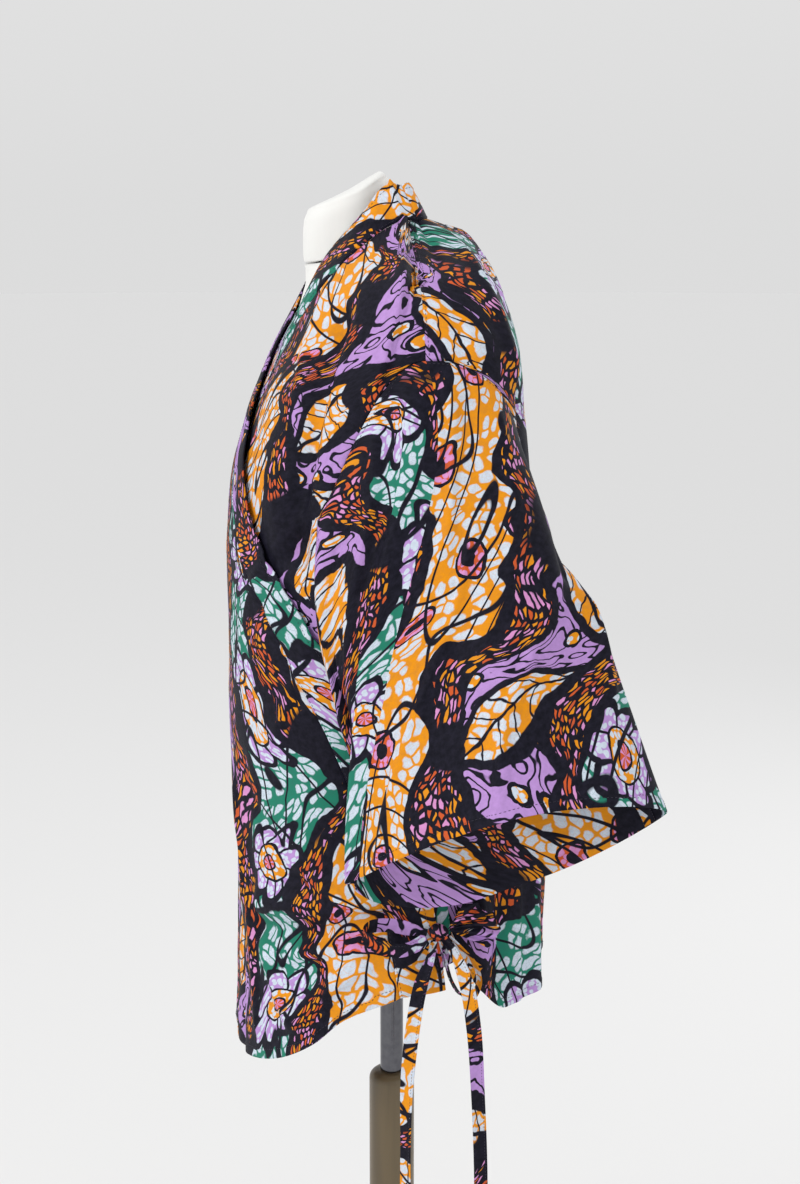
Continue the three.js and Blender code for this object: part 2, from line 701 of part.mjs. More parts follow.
function strap(name, steps) {
  const points = strapRoutes[name].map(([x, y, z]) => vector(x, y, z).add(knotCentre));
  const curve = new THREE.CatmullRomCurve3(points);
  const widthWay = vector(...strapWidthWays[name]).normalize();
  const grid = Array.from({ length: steps + 1 }, (_, i) => {
    const t = i / steps;
    const tangent = curve.getTangentAt(t);
    const across = widthWay.clone().addScaledVector(tangent, -widthWay.dot(tangent)).normalize();
    const normal = tangent.clone().cross(across).normalize();
    const nearKnot = Math.min(t, 1.2 - t) * 6;
    const half = (tieWidth / 2) * mix(0.5, 1, smooth(nearKnot));
    const middle = curve.getPointAt(t);
    return [-half, half].map((offset) => ({
      point: middle.clone().addScaledVector(across, offset),
      normal,
    }));
  });
  return wallGeometry(grid, tieThick);
}

// The corner of the wrapped front, gathered at the knot and spread behind it like a fan.
function gatheredCorner() {
  const rings = 5;
  const ribs = 16;
  const ribsInFold = 4;
  const fan = { from: 2, to: 44, low: -38, high: 70, flatness: 0.6, wave: 0.06, lean: 0.02 };
  const start = knotCentre.clone().add(vector(0, knotHalf.y - 1.2, 2));
  const grid = Array.from({ length: rings + 1 }, (_, ring) => {
    const out = mix(fan.from, fan.to, ring / rings);
    return Array.from({ length: ribs + 1 }, (_, rib) => {
      const angle = toRadians(mix(fan.low, fan.high, rib / ribs));
      const wave = fan.wave * Math.cos((2 * Math.PI * rib) / ribsInFold);
      const up = fan.flatness * Math.sin(angle);
      const offset = vector(fan.lean + wave, Math.cos(angle), up).multiplyScalar(out);
      return { point: start.clone().add(offset), normal: vector(1, 0, 0) };
    });
  });
  return wallGeometry(grid, tieThick);
}

// ---------- Dress form and stand ----------

function formRing({ z, half, front, back, side, rise, pinch }) {
  return Array.from({ length: formColumns }, (_, i) => {
    const turn = toRadians((360 * i) / formColumns);
    const along = -Math.cos(turn);
    const y = mix(side, along < 0 ? front : back, Math.abs(along) ** pinch);
    return vector(half * Math.sin(turn), y, z + (rise * (along + 1)) / 2);
  });
}

const torso = () => ringSolid(formRings.map(formRing));
const neck = () => ringSolid(neckRings.map((row) => formRing({ ...row, z: row.z + neckLift })));

function turned(profile, segments) {
  const geometry = new THREE.LatheGeometry(
    profile.map(([radius, height]) => new THREE.Vector2(radius, height)),
    segments,
  );
  return geometry.rotateX(Math.PI / 2);
}

function stand() {
  const base = turned(
    [
      [0, 0],
      [baseRadius - 3, 0],
      [baseRadius, 3],
      [baseRadius, 10],
      [baseRadius - 4, 14],
      [60, baseThick - 2],
      [34, baseThick],
      [0, baseThick],
    ],
    48,
  );
  const round = 9;
  const shoulder = Array.from({ length: 6 }, (_, i) => {
    const angle = toRadians(18 * i);
    return [
      postRadius - round + round * Math.cos(angle),
      postTopZ - round + round * Math.sin(angle),
    ];
  });
  const postFoot = baseThick + seamGap;
  const post = turned([[0, postFoot], [postRadius, postFoot], ...shoulder, [0, postTopZ]], 32);
  const poleFoot = postTopZ + seamGap;
  const poleTop = torsoBottomZ - seamGap;
  const pole = turned(
    [
      [0, poleFoot],
      [poleRadius, poleFoot],
      [poleRadius, poleTop],
      [0, poleTop],
    ],
    32,
  );
  return { base, post, pole };
}

// ---------- Materials and assembly ----------

const finish = (color, roughness, metalness = 0) =>
  new THREE.MeshStandardMaterial({ color, roughness, metalness });
const cotton = finish(0xb98a3a, 0.72);
const cottonDark = finish(0x2a2433, 0.72);
const jersey = finish(0xe9e8e4, 0.85);
const chrome = finish(0xc9ccd0, 0.18, 1);
const wood = finish(0x75654f, 0.5);
const paint = finish(0x5f5142, 0.5);

const jacketOnForm = new THREE.Group();
function add(name, geometry, material) {
  const mesh = new THREE.Mesh(geometry, material);
  mesh.name = name;
  jacketOnForm.add(mesh);
}

const { base, post, pole } = stand();
add("form_base", base, paint);
add("form_post", post, wood);
add("form_pole", pole, chrome);
add("form_torso", torso(), jersey);
add("form_neck", neck(), jersey);

add("back_panel", wallGeometry(backPanel(), wall), cotton);
add("front_left", wallGeometry(frontLeft(), wall), cotton);
add("front_right", wallGeometry(frontRight(), wall), cotton);
add("sleeve_left", wallGeometry(sleeveGrid(true), wall, true), cotton);
add("sleeve_right", wallGeometry(mirroredGrid(sleeveGrid(false)), wall, true), cotton);
add("collar_band", wallGeometry(collarBand(), wall), cottonDark);

const knot = new THREE.IcosahedronGeometry(1, 3);
knot.scale(knotHalf.x, knotHalf.y, knotHalf.z).translate(...knotCentre.toArray());
add("tie_knot", knot, cottonDark);
for (const name of Object.keys(strapRoutes)) add(name, strap(name, 26), cottonDark);
add("gathered_corner", gatheredCorner(), cotton);

export default jacketOnForm;
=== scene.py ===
"""A wrap-front kimono jacket in a wax print, worn by a limbless dress form on a pole stand.

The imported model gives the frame. Every shape below is worked out in millimetres, with the floor
at z = 0, the wearer facing -Y and +X the wearer's left, and goes into Blender in metres.
"""

import math

import bpy
import numpy as np
from mathutils import Matrix, Vector
from mathutils.bvhtree import BVHTree


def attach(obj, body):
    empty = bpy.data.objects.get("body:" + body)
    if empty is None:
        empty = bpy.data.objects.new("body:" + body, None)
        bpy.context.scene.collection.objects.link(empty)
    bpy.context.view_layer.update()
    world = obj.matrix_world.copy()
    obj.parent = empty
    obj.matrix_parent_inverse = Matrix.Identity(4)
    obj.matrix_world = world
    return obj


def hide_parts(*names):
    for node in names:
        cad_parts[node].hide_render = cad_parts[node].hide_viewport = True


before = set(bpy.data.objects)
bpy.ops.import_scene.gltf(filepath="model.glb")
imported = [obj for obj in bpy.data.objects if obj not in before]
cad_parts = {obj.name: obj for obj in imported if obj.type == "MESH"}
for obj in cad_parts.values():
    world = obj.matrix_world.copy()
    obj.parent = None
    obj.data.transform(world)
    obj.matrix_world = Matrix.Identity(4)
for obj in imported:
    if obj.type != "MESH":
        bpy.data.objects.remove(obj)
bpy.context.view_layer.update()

MM = 0.001

# ---------- Sizes shared with the part's source ----------

SIDE_Y = 15  # Y of the widest line of the jacket
NECK_POINT_Z = 1403
SHOULDER_SEAM_Y = 8
ARMHOLE_MID_Y, ARMHOLE_MID_Z = 8, 1165
ARMHOLE_DEPTH, ARMHOLE_HEIGHT = 85, 130
ARMHOLE_BACK_FULL, ARMHOLE_BACK_TOP, ARMHOLE_FRONT_TOP = 0.85, 0.75, 2.5
EDGE_BLEND = 30
SIDE_HEM_Y_LEFT, SIDE_HEM_Y_RIGHT = 40, 26
UNDER_REACH, UNDER_EASING = 34, 20
UNDER_TOP_Z, UNDER_TOP_EASING = 1330, 60
UNDER_DROP = 5.2  # how far the under front lies below the one that laps it
SHOULDER_ROWS, ARMHOLE_ROWS, SIDE_ROWS = 4, 14, 9
FIRST_SIDE_ROW = SHOULDER_ROWS + ARMHOLE_ROWS
LAST_ROW = FIRST_SIDE_ROW + SIDE_ROWS
FOLD_RADIUS = 170
BAND_WIDTH = 36
BAND_PITCH = 0.45  # beside the neck the standing band leans forward
BAND_LIES_Z, BAND_STANDS_Z = 1342, 1387  # the band lies flat up to the first, and then rises
TIE_WIDTH = 13
KNOT_HALF = (6.5, 9, 7.5)
KNOT_TURN, KNOT_Z = 92, 808
KNOT_REACH = 1 + KNOT_HALF[0] + 0.4
SLEEVE_TWIST = -74
UNDERARM_COLUMN = 112  # of a shown sleeve's 224, counted from the shoulder
ALLOWANCE_DEPTH, ALLOWANCE_THICK = 1.7, 0.8  # the seam allowance inside a sleeve
PRESSED_ACROSS, PRESSED_ALONG = 1.2, 1.5  # a pressed sleeve is pointed at the front and the back
SLEEVE_RADIUS, SLEEVE_LENGTH = 110, 380
BASE_RADIUS, BASE_THICK = 190, 22
POST_RADIUS, POST_TOP_Z = 21.5, 600
POLE_RADIUS, TORSO_BOTTOM_Z = 11, 785
TORSO_TOP_Z, NECK_EDGE_Z = 1364, 1408

# z, half width, front, back, fullness of the front and back corners
BODY_SECTIONS = [
    (1410, 70, -26, 14, 0.9, 0.9),
    (1398, 84, -36, 42, 0.9, 0.88),
    (1391, 97, -42, 62, 0.9, 0.86),
    (1380, 120, -50, 71, 0.88, 0.8),
    (1355, 176, -66, 83, 0.86, 0.72),
    (1325, 206, -84, 94, 0.84, 0.66),
    (1290, 222, -104, 102, 0.8, 0.62),
    (1230, 220, -128, 108, 0.8, 0.62),
    (1170, 213, -144, 114, 0.8, 0.64),
    (1100, 202, -150, 120, 0.8, 0.68),
    (1035, 190, -149, 126, 0.8, 0.72),
    (970, 181, -150, 131, 0.82, 0.76),
    (895, 178, -148, 134, 0.84, 0.78),
    (820, 180, -144, 136, 0.86, 0.8),
    (740, 185, -143, 136, 0.86, 0.82),
    (630, 192, -146, 135, 0.86, 0.84),
]
# turn round the body, height of the hem
HEM_LINE = [
    (-180, 736), (-135, 722), (-90, 706), (-45, 674), (0, 640), (20, 653), (40, 673),
    (54, 695), (67, 725), (84, 748), (98, 776), (109, 748), (122, 727), (140, 732), (180, 736),
]
# z, turn of the seam between the collar band and each front
LEFT_SEAM = [
    (1410, 83), (1403, 78), (1398, 67), (1383, 45), (1370, 33), (1342, 20),
    (1300, 10), (1262, 3), (1200, -7), (1045, -20), (900, -29), (620, -40),
]
RIGHT_SEAM = [
    (1410, -83), (1403, -78), (1398, -67), (1383, -45), (1370, -33), (1342, -21),
    (1300, -14), (1250, -9), (1205, -1), (1172, 8), (1140, 18), (1100, 31),
    (1045, 48), (970, 65), (900, 74), (808, 80), (740, 84),
]
# four lines that the left sleeve follows, from the armhole to the cuff
SLEEVE_GUIDES = {
    "outer": [(222, 30, 1293), (264, 30, 1160), (296, 52, 1050), (322, 72, 950)],
    "inner": [(201, -20, 1036), (203, -2, 985), (204, 24, 905), (203, 44, 838)],
    "back": [(205, 93, 1165), (240, 130, 1120), (260, 165, 1028), (276, 198, 936)],
    "front": [(197, -81, 1165), (204, -78, 1085), (213, -52, 985), (216, -50, 864)],
}
# z, half width, front, back, Y of the widest line, rise of the back, thinness of the sides
TORSO_RINGS = [
    (785, 158, -105, 109, 0, 0, 1),
    (845, 163, -112, 117, 0, 0, 1),
    (905, 156, -110, 111, 0, 0, 1),
    (960, 137, -104, 96, 0, 0, 1),
    (1010, 124, -102, 86, 0, 0, 1),
    (1060, 133, -115, 86, 0, 0, 1),
    (1110, 148, -135, 91, 0, 0, 1),
    (1155, 157, -134, 94, 0, 0, 1),
    (1210, 166, -118, 96, 0, 0, 1),
    (1262, 174, -102, 92, 0, 0, 1.05),
    (1300, 179, -91, 88, 3, 0, 1.3),
    (1326, 179, -82, 78, 6, 4, 2),
    (1340, 171, -78, 68, 6, 14, 3),
    (1348, 155.5, -76, 56, 6, 24, 4),
    (1354, 131, -76, 41, 6, 31, 4.4),
    (1359, 100, -76, 27, 2, 38, 3.6),
    (1364, 66, -77, 15, -6, 44, 2),
]
NECK_RINGS = [
    (1364, 66, -77, 15, -6, 44, 2),
    (1372, 50, -78, 8, -22, 43, 1.3),
    (1385, 46, -78, 4, -31, 41, 1.1),
    (1400, 45, -77, 0, -33, 34, 1),
    (1408, 44, -74, -5, -33, 31, 1),
    (1412, 37, -66, -11, -33, 28, 1),
]

# ---------- What the shown cloth adds ----------

CLOTH = 0.9  # thickness of one layer with its finish
BAND_CLOTH = 2.0  # the collar band is folded double
BAND_ROLL = 5  # how far its free edge stands off where it turns round the neck
HEM_WIDTH, HEM_EXTRA = 10, 0.8
HEM_STITCH = HEM_WIDTH - 1.2  # from the hem to its row of stitches
SEAM_ROLL = 0.8
SEAM_STITCH = 3.2  # from a seam to the row of stitches beside it
SLEEVE_LIFT = 1.0  # the sleeve's middle over the body's, at the armhole
NECK_LIFT = 1.3  # parting between the torso and the neck
FORM_SEARCH = 14  # cloth farther than this from the form is clear of it
FORM_CLEARANCE = 0.9  # between the form and the middle of the cloth

# Folds of the body: where each starts and ends (turn, z), its height, how far it spreads, and how
# much steeper its far side is (1 is even).
BODY_FOLDS = [
    (47, 1318, 52, 1135, -15, 17, 1),
    (-47, 1322, -53, 1075, -13, 18, 1),
    (122, 1368, 132, 1285, 6, 15, 1),
    (-124, 1362, -131, 1292, 5, 16, 1),
    (143, 1270, 138, 1010, -9, 20, 1),
    (-141, 1258, -146, 960, -8, 22, 1),
    (21, 930, 24, 808, -4, 14, 1),
    (30, 806, 78, 838, 7, 14, 1),
    (27, 782, 76, 806, -9, 13, 1),
    (30, 772, 46, 712, 6, 9, 1),
    (76, 800, 50, 718, 8, 11, 1),
    (6, 760, 9, 640, -7, 13, 1),
    (-24, 900, -19, 650, 6, 17, 1),
    (-52, 980, -47, 690, -8, 20, 1),
    (-74, 900, -70, 700, 7, 18, 1),
    (121, 900, 118, 750, -9, 13, 1),
    (140, 880, 139, 716, 9, 16, 1),
    (160, 940, 158, 738, -8, 17, 1),
    (182, 1120, 179, 740, 6, 22, 1),
    (204, 980, 207, 736, -9, 18, 1),
    (226, 960, 224, 722, 8, 18, 1),
    (249, 960, 246, 715, -8, 17, 1),
]
# Smaller creases and drags, shown only here.
BODY_CREASES = [
    (82, 1398, 76, 1290, 6, 18, 0.12),
    (96, 1396, 98, 1290, -2.6, 9, 1),
    (-83, 1398, -77, 1300, 3.5, 18, 0.25),
    (30, 1345, 41, 1265, 3.2, 8, 0.6),
    (-31, 1345, -43, 1260, 3, 8, 0.6),
    (60, 1190, 34, 1105, 2.6, 7, 0.6),
    (58, 1168, 26, 1040, -2.2, 8, 1),
    (-62, 1180, -36, 1090, 2.8, 8, 0.6),
    (-60, 1150, -28, 1010, -2.4, 9, 1),
    (66, 1110, 44, 960, 2.4, 8, 0.5),
    (-68, 1090, -50, 930, 2.6, 9, 0.5),
    (24, 905, 52, 846, -4, 9, 1),
    (38, 870, 74, 828, 4.6, 9, 0.4),
    (44, 842, 80, 818, -4, 7, 1),
    (50, 778, 82, 800, 4.6, 8, 0.4),
    (38, 752, 80, 790, -4.4, 8, 1),
    (60, 745, 80, 788, 3.4, 6, 0.6),
    (14, 900, 16, 800, 3.4, 8, 0.4),
    (20, 800, 27, 690, 4.2, 10, 0.4),
    (-8, 850, -6, 650, 2.2, 9, 0.6),
    (-38, 880, -34, 680, -2.6, 9, 1),
    (-62, 850, -60, 700, 2.6, 8, 0.6),
    (112, 1250, 124, 1120, 2.8, 8, 0.5),
    (118, 1180, 140, 1050, -2.4, 9, 1),
    (-114, 1240, -127, 1100, 3, 8, 0.5),
    (-120, 1160, -143, 1020, -2.6, 10, 1),
    (108, 860, 110, 770, 3, 7, 0.5),
    (129, 870, 129, 730, 2.6, 7, 0.5),
    (150, 860, 149, 730, -3, 8, 1),
    (171, 930, 169, 738, 2.6, 8, 0.6),
    (193, 900, 194, 738, 2.8, 9, 0.5),
    (215, 880, 215, 728, -2.8, 9, 1),
    (237, 860, 236, 718, 2.4, 8, 0.6),
    (165, 1392, 150, 1340, 2.2, 8, 0.6),
    (195, 1392, 212, 1338, 2.2, 8, 0.6),
    (172, 1330, 188, 1326, -1.8, 9, 1),
]
# Folds of a sleeve: turn round it from the shoulder, way down it, height, spread, steepness.
SLEEVE_FOLDS = [
    (-16, 0.0, -16, 1.0, 8, 20, 0.10),
    (-28, 0.0, -24, 0.35, -4, 9, 1),
    (28, 0.3, 12, 0.98, 3.4, 9, 0.35),
    (74, 0.45, 62, 1.0, 4, 12, 0.3),
    (-44, 0.45, -38, 1.0, 3, 9, 0.4),
    (22, 0.1, 38, 0.95, -6, 30, 1),
    (88, 0.25, 96, 1.0, -5, 26, 1),
    (-52, 0.2, -42, 0.75, -7, 20, 1),
    (-120, 0.45, -128, 1.0, 5, 26, 1),
    (6, 0.02, 12, 0.35, 2.4, 8, 0.6),
    (34, 0.02, 52, 0.42, 2.6, 9, 0.5),
    (58, 0.0, 84, 0.36, -2.4, 9, 1),
    (-34, 0.04, -30, 0.5, 2.4, 8, 0.5),
    (112, 0.1, 120, 0.7, 3, 10, 0.6),
    (150, 0.05, 160, 0.6, -3, 11, 1),
    (60, 0.55, 66, 1.0, 2.6, 14, 0.6),
    (8, 0.6, 14, 1.0, -2.2, 13, 1),
    (-66, 0.5, -72, 1.0, 2.6, 12, 0.6),
    (-150, 0.3, -146, 0.9, -3, 12, 1),
]

# Routes of the straps from the knot, as offsets from its middle: out, back and up.
STRAP_ROUTES = {
    "bow_loop_front": [
        (2, -9.8, 0), (1, -22, 3), (0, -40, 7), (5, -58, 8), (13, -64, 4),
        (19, -54, -3), (17, -34, -9), (10, -19, -7), (6.8, -10.4, -3),
    ],
    "bow_loop_drop": [
        (1, 2, -8.2), (5, 6, -24), (7, 11, -42), (8, 20, -55), (8, 29, -55),
        (8, 34, -42), (7, 29, -25), (5, 19, -13), (1, 9.6, -3.5),
    ],
    "tie_tail_front": [
        (2, -3, -7.6), (9, -8, -22), (14, -16, -41), (16, -23, -78),
        (16, -28, -130), (15, -29, -190), (14, -29, -256),
    ],
    "tie_tail_back": [
        (6.6, 3.4, -3), (17, 12, -13), (24, 21, -36), (25, 28, -80),
        (23, 32, -140), (21, 35, -205), (20, 36, -268),
    ],
}
STRAP_WIDTH_WAYS = {
    "bow_loop_front": (0, 0, 1),
    "bow_loop_drop": (1, 0.25, 0),
    "tie_tail_front": (0.35, 1, 0),
    "tie_tail_back": (0.2, 1, 0),
}
STRAP_TWISTS = {
    "bow_loop_front": 0.0,
    "bow_loop_drop": 0.0,
    "tie_tail_front": 0.5,
    "tie_tail_back": -0.6,
}
GATHER_REACH = 44  # of the gathered corner, from the knot

# How each cut piece lies on the bolt of cloth: its turn, and its shift in metres.
LAID = {
    "back": (0.05, (0.31, 0.92)),
    "left_front": (-0.1, (2.1, 0.33)),
    "right_front": (0.08, (1.05, 1.64)),
    "collar": (0.4, (1.7, 0.6)),
    "left_sleeve": (0.0, (0.62, 0.41)),
    "right_sleeve": (0.06, (1.9, 1.2)),
    "sleeve_seam": (0.0, (1.3, 0.7)),
    "bow_loop_front": (1.2, (0.4, 2.2)),
    "bow_loop_drop": (1.2, (0.9, 2.4)),
    "tie_tail_front": (1.5, (0.2, 3.0)),
    "tie_tail_back": (1.5, (1.3, 3.3)),
    "knot": (0.0, (0.7, 1.1)),
    "gather": (0.3, (0.1, 0.8)),
}
MIRROR = np.array([-1.0, 1.0, 1.0])
FOLD_SCALE = math.radians(FOLD_RADIUS)  # millimetres of the body to a degree of turn

# ---------- Plain helpers ----------


def mix(a, b, t):
    return a + (b - a) * t


def smooth(t):
    s = np.clip(t, 0.0, 1.0)
    return s * s * (3 - 2 * s)


def unit(v):
    return v / np.linalg.norm(v, axis=-1, keepdims=True)


def through(rows, column):
    """A smooth function of a table's first column, which never overshoots its rows."""
    order = sorted(rows, key=lambda row: row[0])
    at = np.array([row[0] for row in order], float)
    value = np.array([row[column] for row in order], float)
    rate = np.diff(value) / np.diff(at)
    slope = np.concatenate([rate[:1], np.zeros(len(rate) - 1), rate[-1:]])
    for i in range(1, len(rate)):
        product = rate[i - 1] * rate[i]
        slope[i] = 0 if product <= 0 else 2 * product / (rate[i - 1] + rate[i])

    def value_at(x):
        x = np.clip(x, at[0], at[-1])
        i = np.clip(np.searchsorted(at, x, side="left") - 1, 0, len(at) - 2)
        span = at[i + 1] - at[i]
        t = (x - at[i]) / span
        rest = 1 - t
        ends = value[i] * (1 + 2 * t) * rest * rest + value[i + 1] * (3 - 2 * t) * t * t
        return ends + span * (slope[i] * t * rest * rest - slope[i + 1] * rest * t * t)

    return value_at


def wrap_turn(turn):
    return (turn + 180) % 360 - 180


def fold_height(u, v, folds, u_scale, v_scale, wraps=True):
    """The height of a table of folds at (u, v), where scales turn both into millimetres."""
    total = 0.0
    for from_u, from_v, to_u, to_v, height, spread, steep in folds:
        across = (wrap_turn(u - from_u) if wraps else u - from_u) * u_scale
        along = (v - from_v) * v_scale
        run = np.array([(to_u - from_u) * u_scale, (to_v - from_v) * v_scale])
        share = np.clip((across * run[0] + along * run[1]) / (run @ run), 0, 1)
        distance = np.hypot(across - run[0] * share, along - run[1] * share)
        is_far = across * run[1] - along * run[0] > 0
        reach = np.where(is_far, spread, spread * steep)
        total = total + height * np.exp(-((distance / reach) ** 2))
    return total


def ripple(u, v, seed, size):
    """A soft unevenness of about -1 to 1, made of a few waves about size long."""
    draw = np.random.default_rng(seed)
    total = 0.0
    for _ in range(7):
        angle = draw.uniform(0, math.tau)
        wave = math.tau / (size * draw.uniform(0.7, 1.6))
        phase = draw.uniform(0, math.tau)
        total = total + np.sin(wave * (u * math.cos(angle) + v * math.sin(angle)) + phase)
    return total / 3.2


# ---------- The surface that the jacket's body follows ----------

HALF, FRONT, BACK, FRONT_FULL, BACK_FULL = (through(BODY_SECTIONS, c) for c in range(1, 6))
HEM_HEIGHT = through(HEM_LINE, 1)
LEFT_SEAM_TURN = through(LEFT_SEAM, 1)
RIGHT_SEAM_TURN = through(RIGHT_SEAM, 1)


def plain_body(turn, z):
    across = np.sin(np.radians(turn))
    along = np.cos(np.radians(turn))
    is_front = along > 0
    full = np.where(is_front, FRONT_FULL(z), BACK_FULL(z))
    reach = np.where(is_front, FRONT(z), BACK(z)) - SIDE_Y
    x = HALF(z) * np.sign(across) * np.abs(across) ** full
    return np.stack([x, SIDE_Y + reach * np.abs(along) ** full, z + 0 * x], -1)


def body_normal(turn, z):
    step = 1.5
    around = plain_body(turn + step, z) - plain_body(turn - step, z)
    up = plain_body(turn, z + step) - plain_body(turn, z - step)
    return unit(np.cross(around, up))


def turn_at_y(y, z):
    """The turn at which the left half of the body reaches the given Y."""
    is_front = y < SIDE_Y
    full = np.where(is_front, FRONT_FULL(z), BACK_FULL(z))
    reach = np.where(is_front, SIDE_Y - FRONT(z), BACK(z) - SIDE_Y)
    share = np.minimum(1, np.abs(y - SIDE_Y) / reach)
    turn = np.degrees(np.arccos(share ** (1 / full)))
    return np.where(is_front, turn, 180 - turn)


def underlap(turn, z):
    """How far the under layer is pushed in: 1 under the wrapped front, 0 clear of it."""
    cover = RIGHT_SEAM_TURN(z) + UNDER_REACH - turn
    return smooth(cover / UNDER_EASING) * smooth((UNDER_TOP_Z - z) / UNDER_TOP_EASING)


def body_point(turn, z, is_under):
    """Points of the jacket's body with all its folds."""
    fold = fold_height(turn, z, BODY_FOLDS, FOLD_SCALE, 1)
    cover = underlap(turn, z) if is_under else 0
    lift = mix(fold, np.minimum(fold, 0), cover) - cover * UNDER_DROP
    crease = fold_height(turn, z, BODY_CREASES, FOLD_SCALE, 1)
    around = turn * FOLD_SCALE
    uneven = 0.9 * ripple(around, z, 3, 150) + 0.35 * ripple(around, z, 4, 48)
    fine = (crease + uneven) * (1 - 0.85 * cover)
    return plain_body(turn, z) + body_normal(turn, z) * (lift + fine)[..., None]


# ---------- Meshes ----------


def new_object(name, vertices, faces, corner_uv=None):
    mesh = bpy.data.meshes.new(name)
    mesh.from_pydata((np.asarray(vertices) * MM).tolist(), [], faces)
    if corner_uv is not None:
        layer = mesh.uv_layers.new(name="cut")
        layer.data.foreach_set("uv", np.asarray(corner_uv, np.float32).ravel())
    mesh.polygons.foreach_set("use_smooth", [True] * len(mesh.polygons))
    mesh.update()
    thing = bpy.data.objects.new(name, mesh)
    bpy.context.scene.collection.objects.link(thing)
    return thing


def grid_normals(points, is_ring, outward):
    """Normals of a grid, turned to the side that the rough outward directions give."""
    if is_ring:
        around = np.roll(points, -1, 1) - np.roll(points, 1, 1)
    else:
        around = np.gradient(points, axis=1)
    normals = np.cross(np.gradient(points, axis=0), around)
    normals = normals / np.maximum(np.linalg.norm(normals, axis=-1, keepdims=True), 1e-9)
    return normals if (normals * outward).sum() > 0 else -normals


def lengths(points, axis):
    """The running length along a grid's rows or columns, from 0."""
    step = np.linalg.norm(np.diff(points, axis=axis), axis=-1)
    pad = np.zeros_like(np.take(step, [0], axis))
    return np.cumsum(np.concatenate([pad, step], axis), axis)


def cut_uv(laid, points, middle, is_ring=False, level=0):
    """Places of a grid's points on its flat cut piece, in metres, laid on the bolt of cloth.

    They are measured from one column, the middle, and one row, the level.
    """
    turn, shift = LAID[laid]
    closed = np.concatenate([points, points[:, :1]], 1) if is_ring else points
    across = lengths(closed, 1)
    u = (across - across[:, middle : middle + 1]) * MM
    down = lengths(closed, 0)
    v = (down[level, middle] - (down - down[level : level + 1])) * MM
    c, s = math.cos(turn), math.sin(turn)
    return np.stack([c * u - s * v + shift[0], s * u + c * v + shift[1]], -1)


def wall(name, points, outward, thickness, uv, is_ring=False):
    """A closed thin wall round a grid of points, with its cut piece's UVs."""
    rows, columns = points.shape[:2]
    normals = grid_normals(points, is_ring, outward)
    offset = normals * (np.asarray(thickness)[..., None] / 2)
    vertices = np.concatenate([(points + offset).reshape(-1, 3), (points - offset).reshape(-1, 3)])
    steps = columns if is_ring else columns - 1
    r, c = np.meshgrid(np.arange(rows - 1), np.arange(steps), indexing="ij")
    r, c = r.ravel(), c.ravel()
    corners = [(r, c), (r + 1, c), (r + 1, c + 1), (r, c + 1)]
    ids = np.stack([a * columns + b % columns for a, b in corners], -1)
    uvs = np.stack([uv[a, b] for a, b in corners], 1)
    a = points.reshape(-1, 3)[ids]
    face_way = np.cross(a[:, 1] - a[:, 0], a[:, 3] - a[:, 0])
    is_out = (face_way * normals.reshape(-1, 3)[ids[:, 0]]).sum() > 0
    if not is_out:
        ids, uvs = ids[:, ::-1], uvs[:, ::-1]
    half = rows * columns
    outer, inner = ids, ids[:, ::-1] + half
    faces, corner_uv = [outer, inner], [uvs, uvs[:, ::-1]]

    def rim(path, path_uv, flip):
        first, second = path[:-1], path[1:]
        quad = np.stack([first, second, second + half, first + half], -1)
        quad_uv = np.stack([path_uv[:-1], path_uv[1:], path_uv[1:], path_uv[:-1]], 1)
        if flip:
            quad, quad_uv = quad[:, ::-1], quad_uv[:, ::-1]
        faces.append(quad)
        corner_uv.append(quad_uv)

    ring_columns = np.arange(steps + 1)
    top = ring_columns % columns
    bottom = (rows - 1) * columns + top
    rim(top, uv[0, ring_columns], is_out)
    rim(bottom, uv[-1, ring_columns], not is_out)
    if not is_ring:
        start = np.arange(rows) * columns
        rim(start, uv[:, 0], not is_out)
        rim(start + columns - 1, uv[:, -1], is_out)
    return new_object(name, vertices, np.concatenate(faces).tolist(), np.concatenate(corner_uv))


def edge_spaced(count, total):
    """Shares from 0 to 1 in even steps, with close ones at both ends to round an edge."""
    close = np.array([0.0, 0.35, 0.9]) / total
    inner = np.linspace(2.2 / total, 1 - 2.2 / total, count)
    return np.concatenate([close, inner, (1 - close)[::-1]])


def rounded(distance, thickness):
    """A wall's thickness near its edge, from the distance to it in millimetres."""
    return thickness * np.sqrt(np.clip(0.12 + distance / (thickness * 0.9), 0, 1))


def hemmed(to_hem):
    """The cloth's thickness, with more where the hem is turned up."""
    return CLOTH + HEM_EXTRA * smooth((HEM_WIDTH + 0.7 - to_hem) / 1.4)


def ring_solid(name, rings):
    """A closed skin through rings of points, with a middle point at each end."""
    count = rings.shape[1]
    middles = [rings[0].mean(0), rings[-1].mean(0)]
    vertices = np.concatenate([rings.reshape(-1, 3), middles])
    faces = []
    for r in range(len(rings) - 1):
        for c in range(count):
            n = (c + 1) % count
            faces.append((r * count + c, r * count + n, (r + 1) * count + n, (r + 1) * count + c))
    bottom, top = len(vertices) - 2, len(vertices) - 1
    last = (len(rings) - 1) * count
    for c in range(count):
        n = (c + 1) % count
        faces.append((bottom, n, c))
        faces.append((top, last + c, last + n))
    return new_object(name, vertices, faces)


# ---------- Dress form and stand ----------

FORM_SIDES = 128


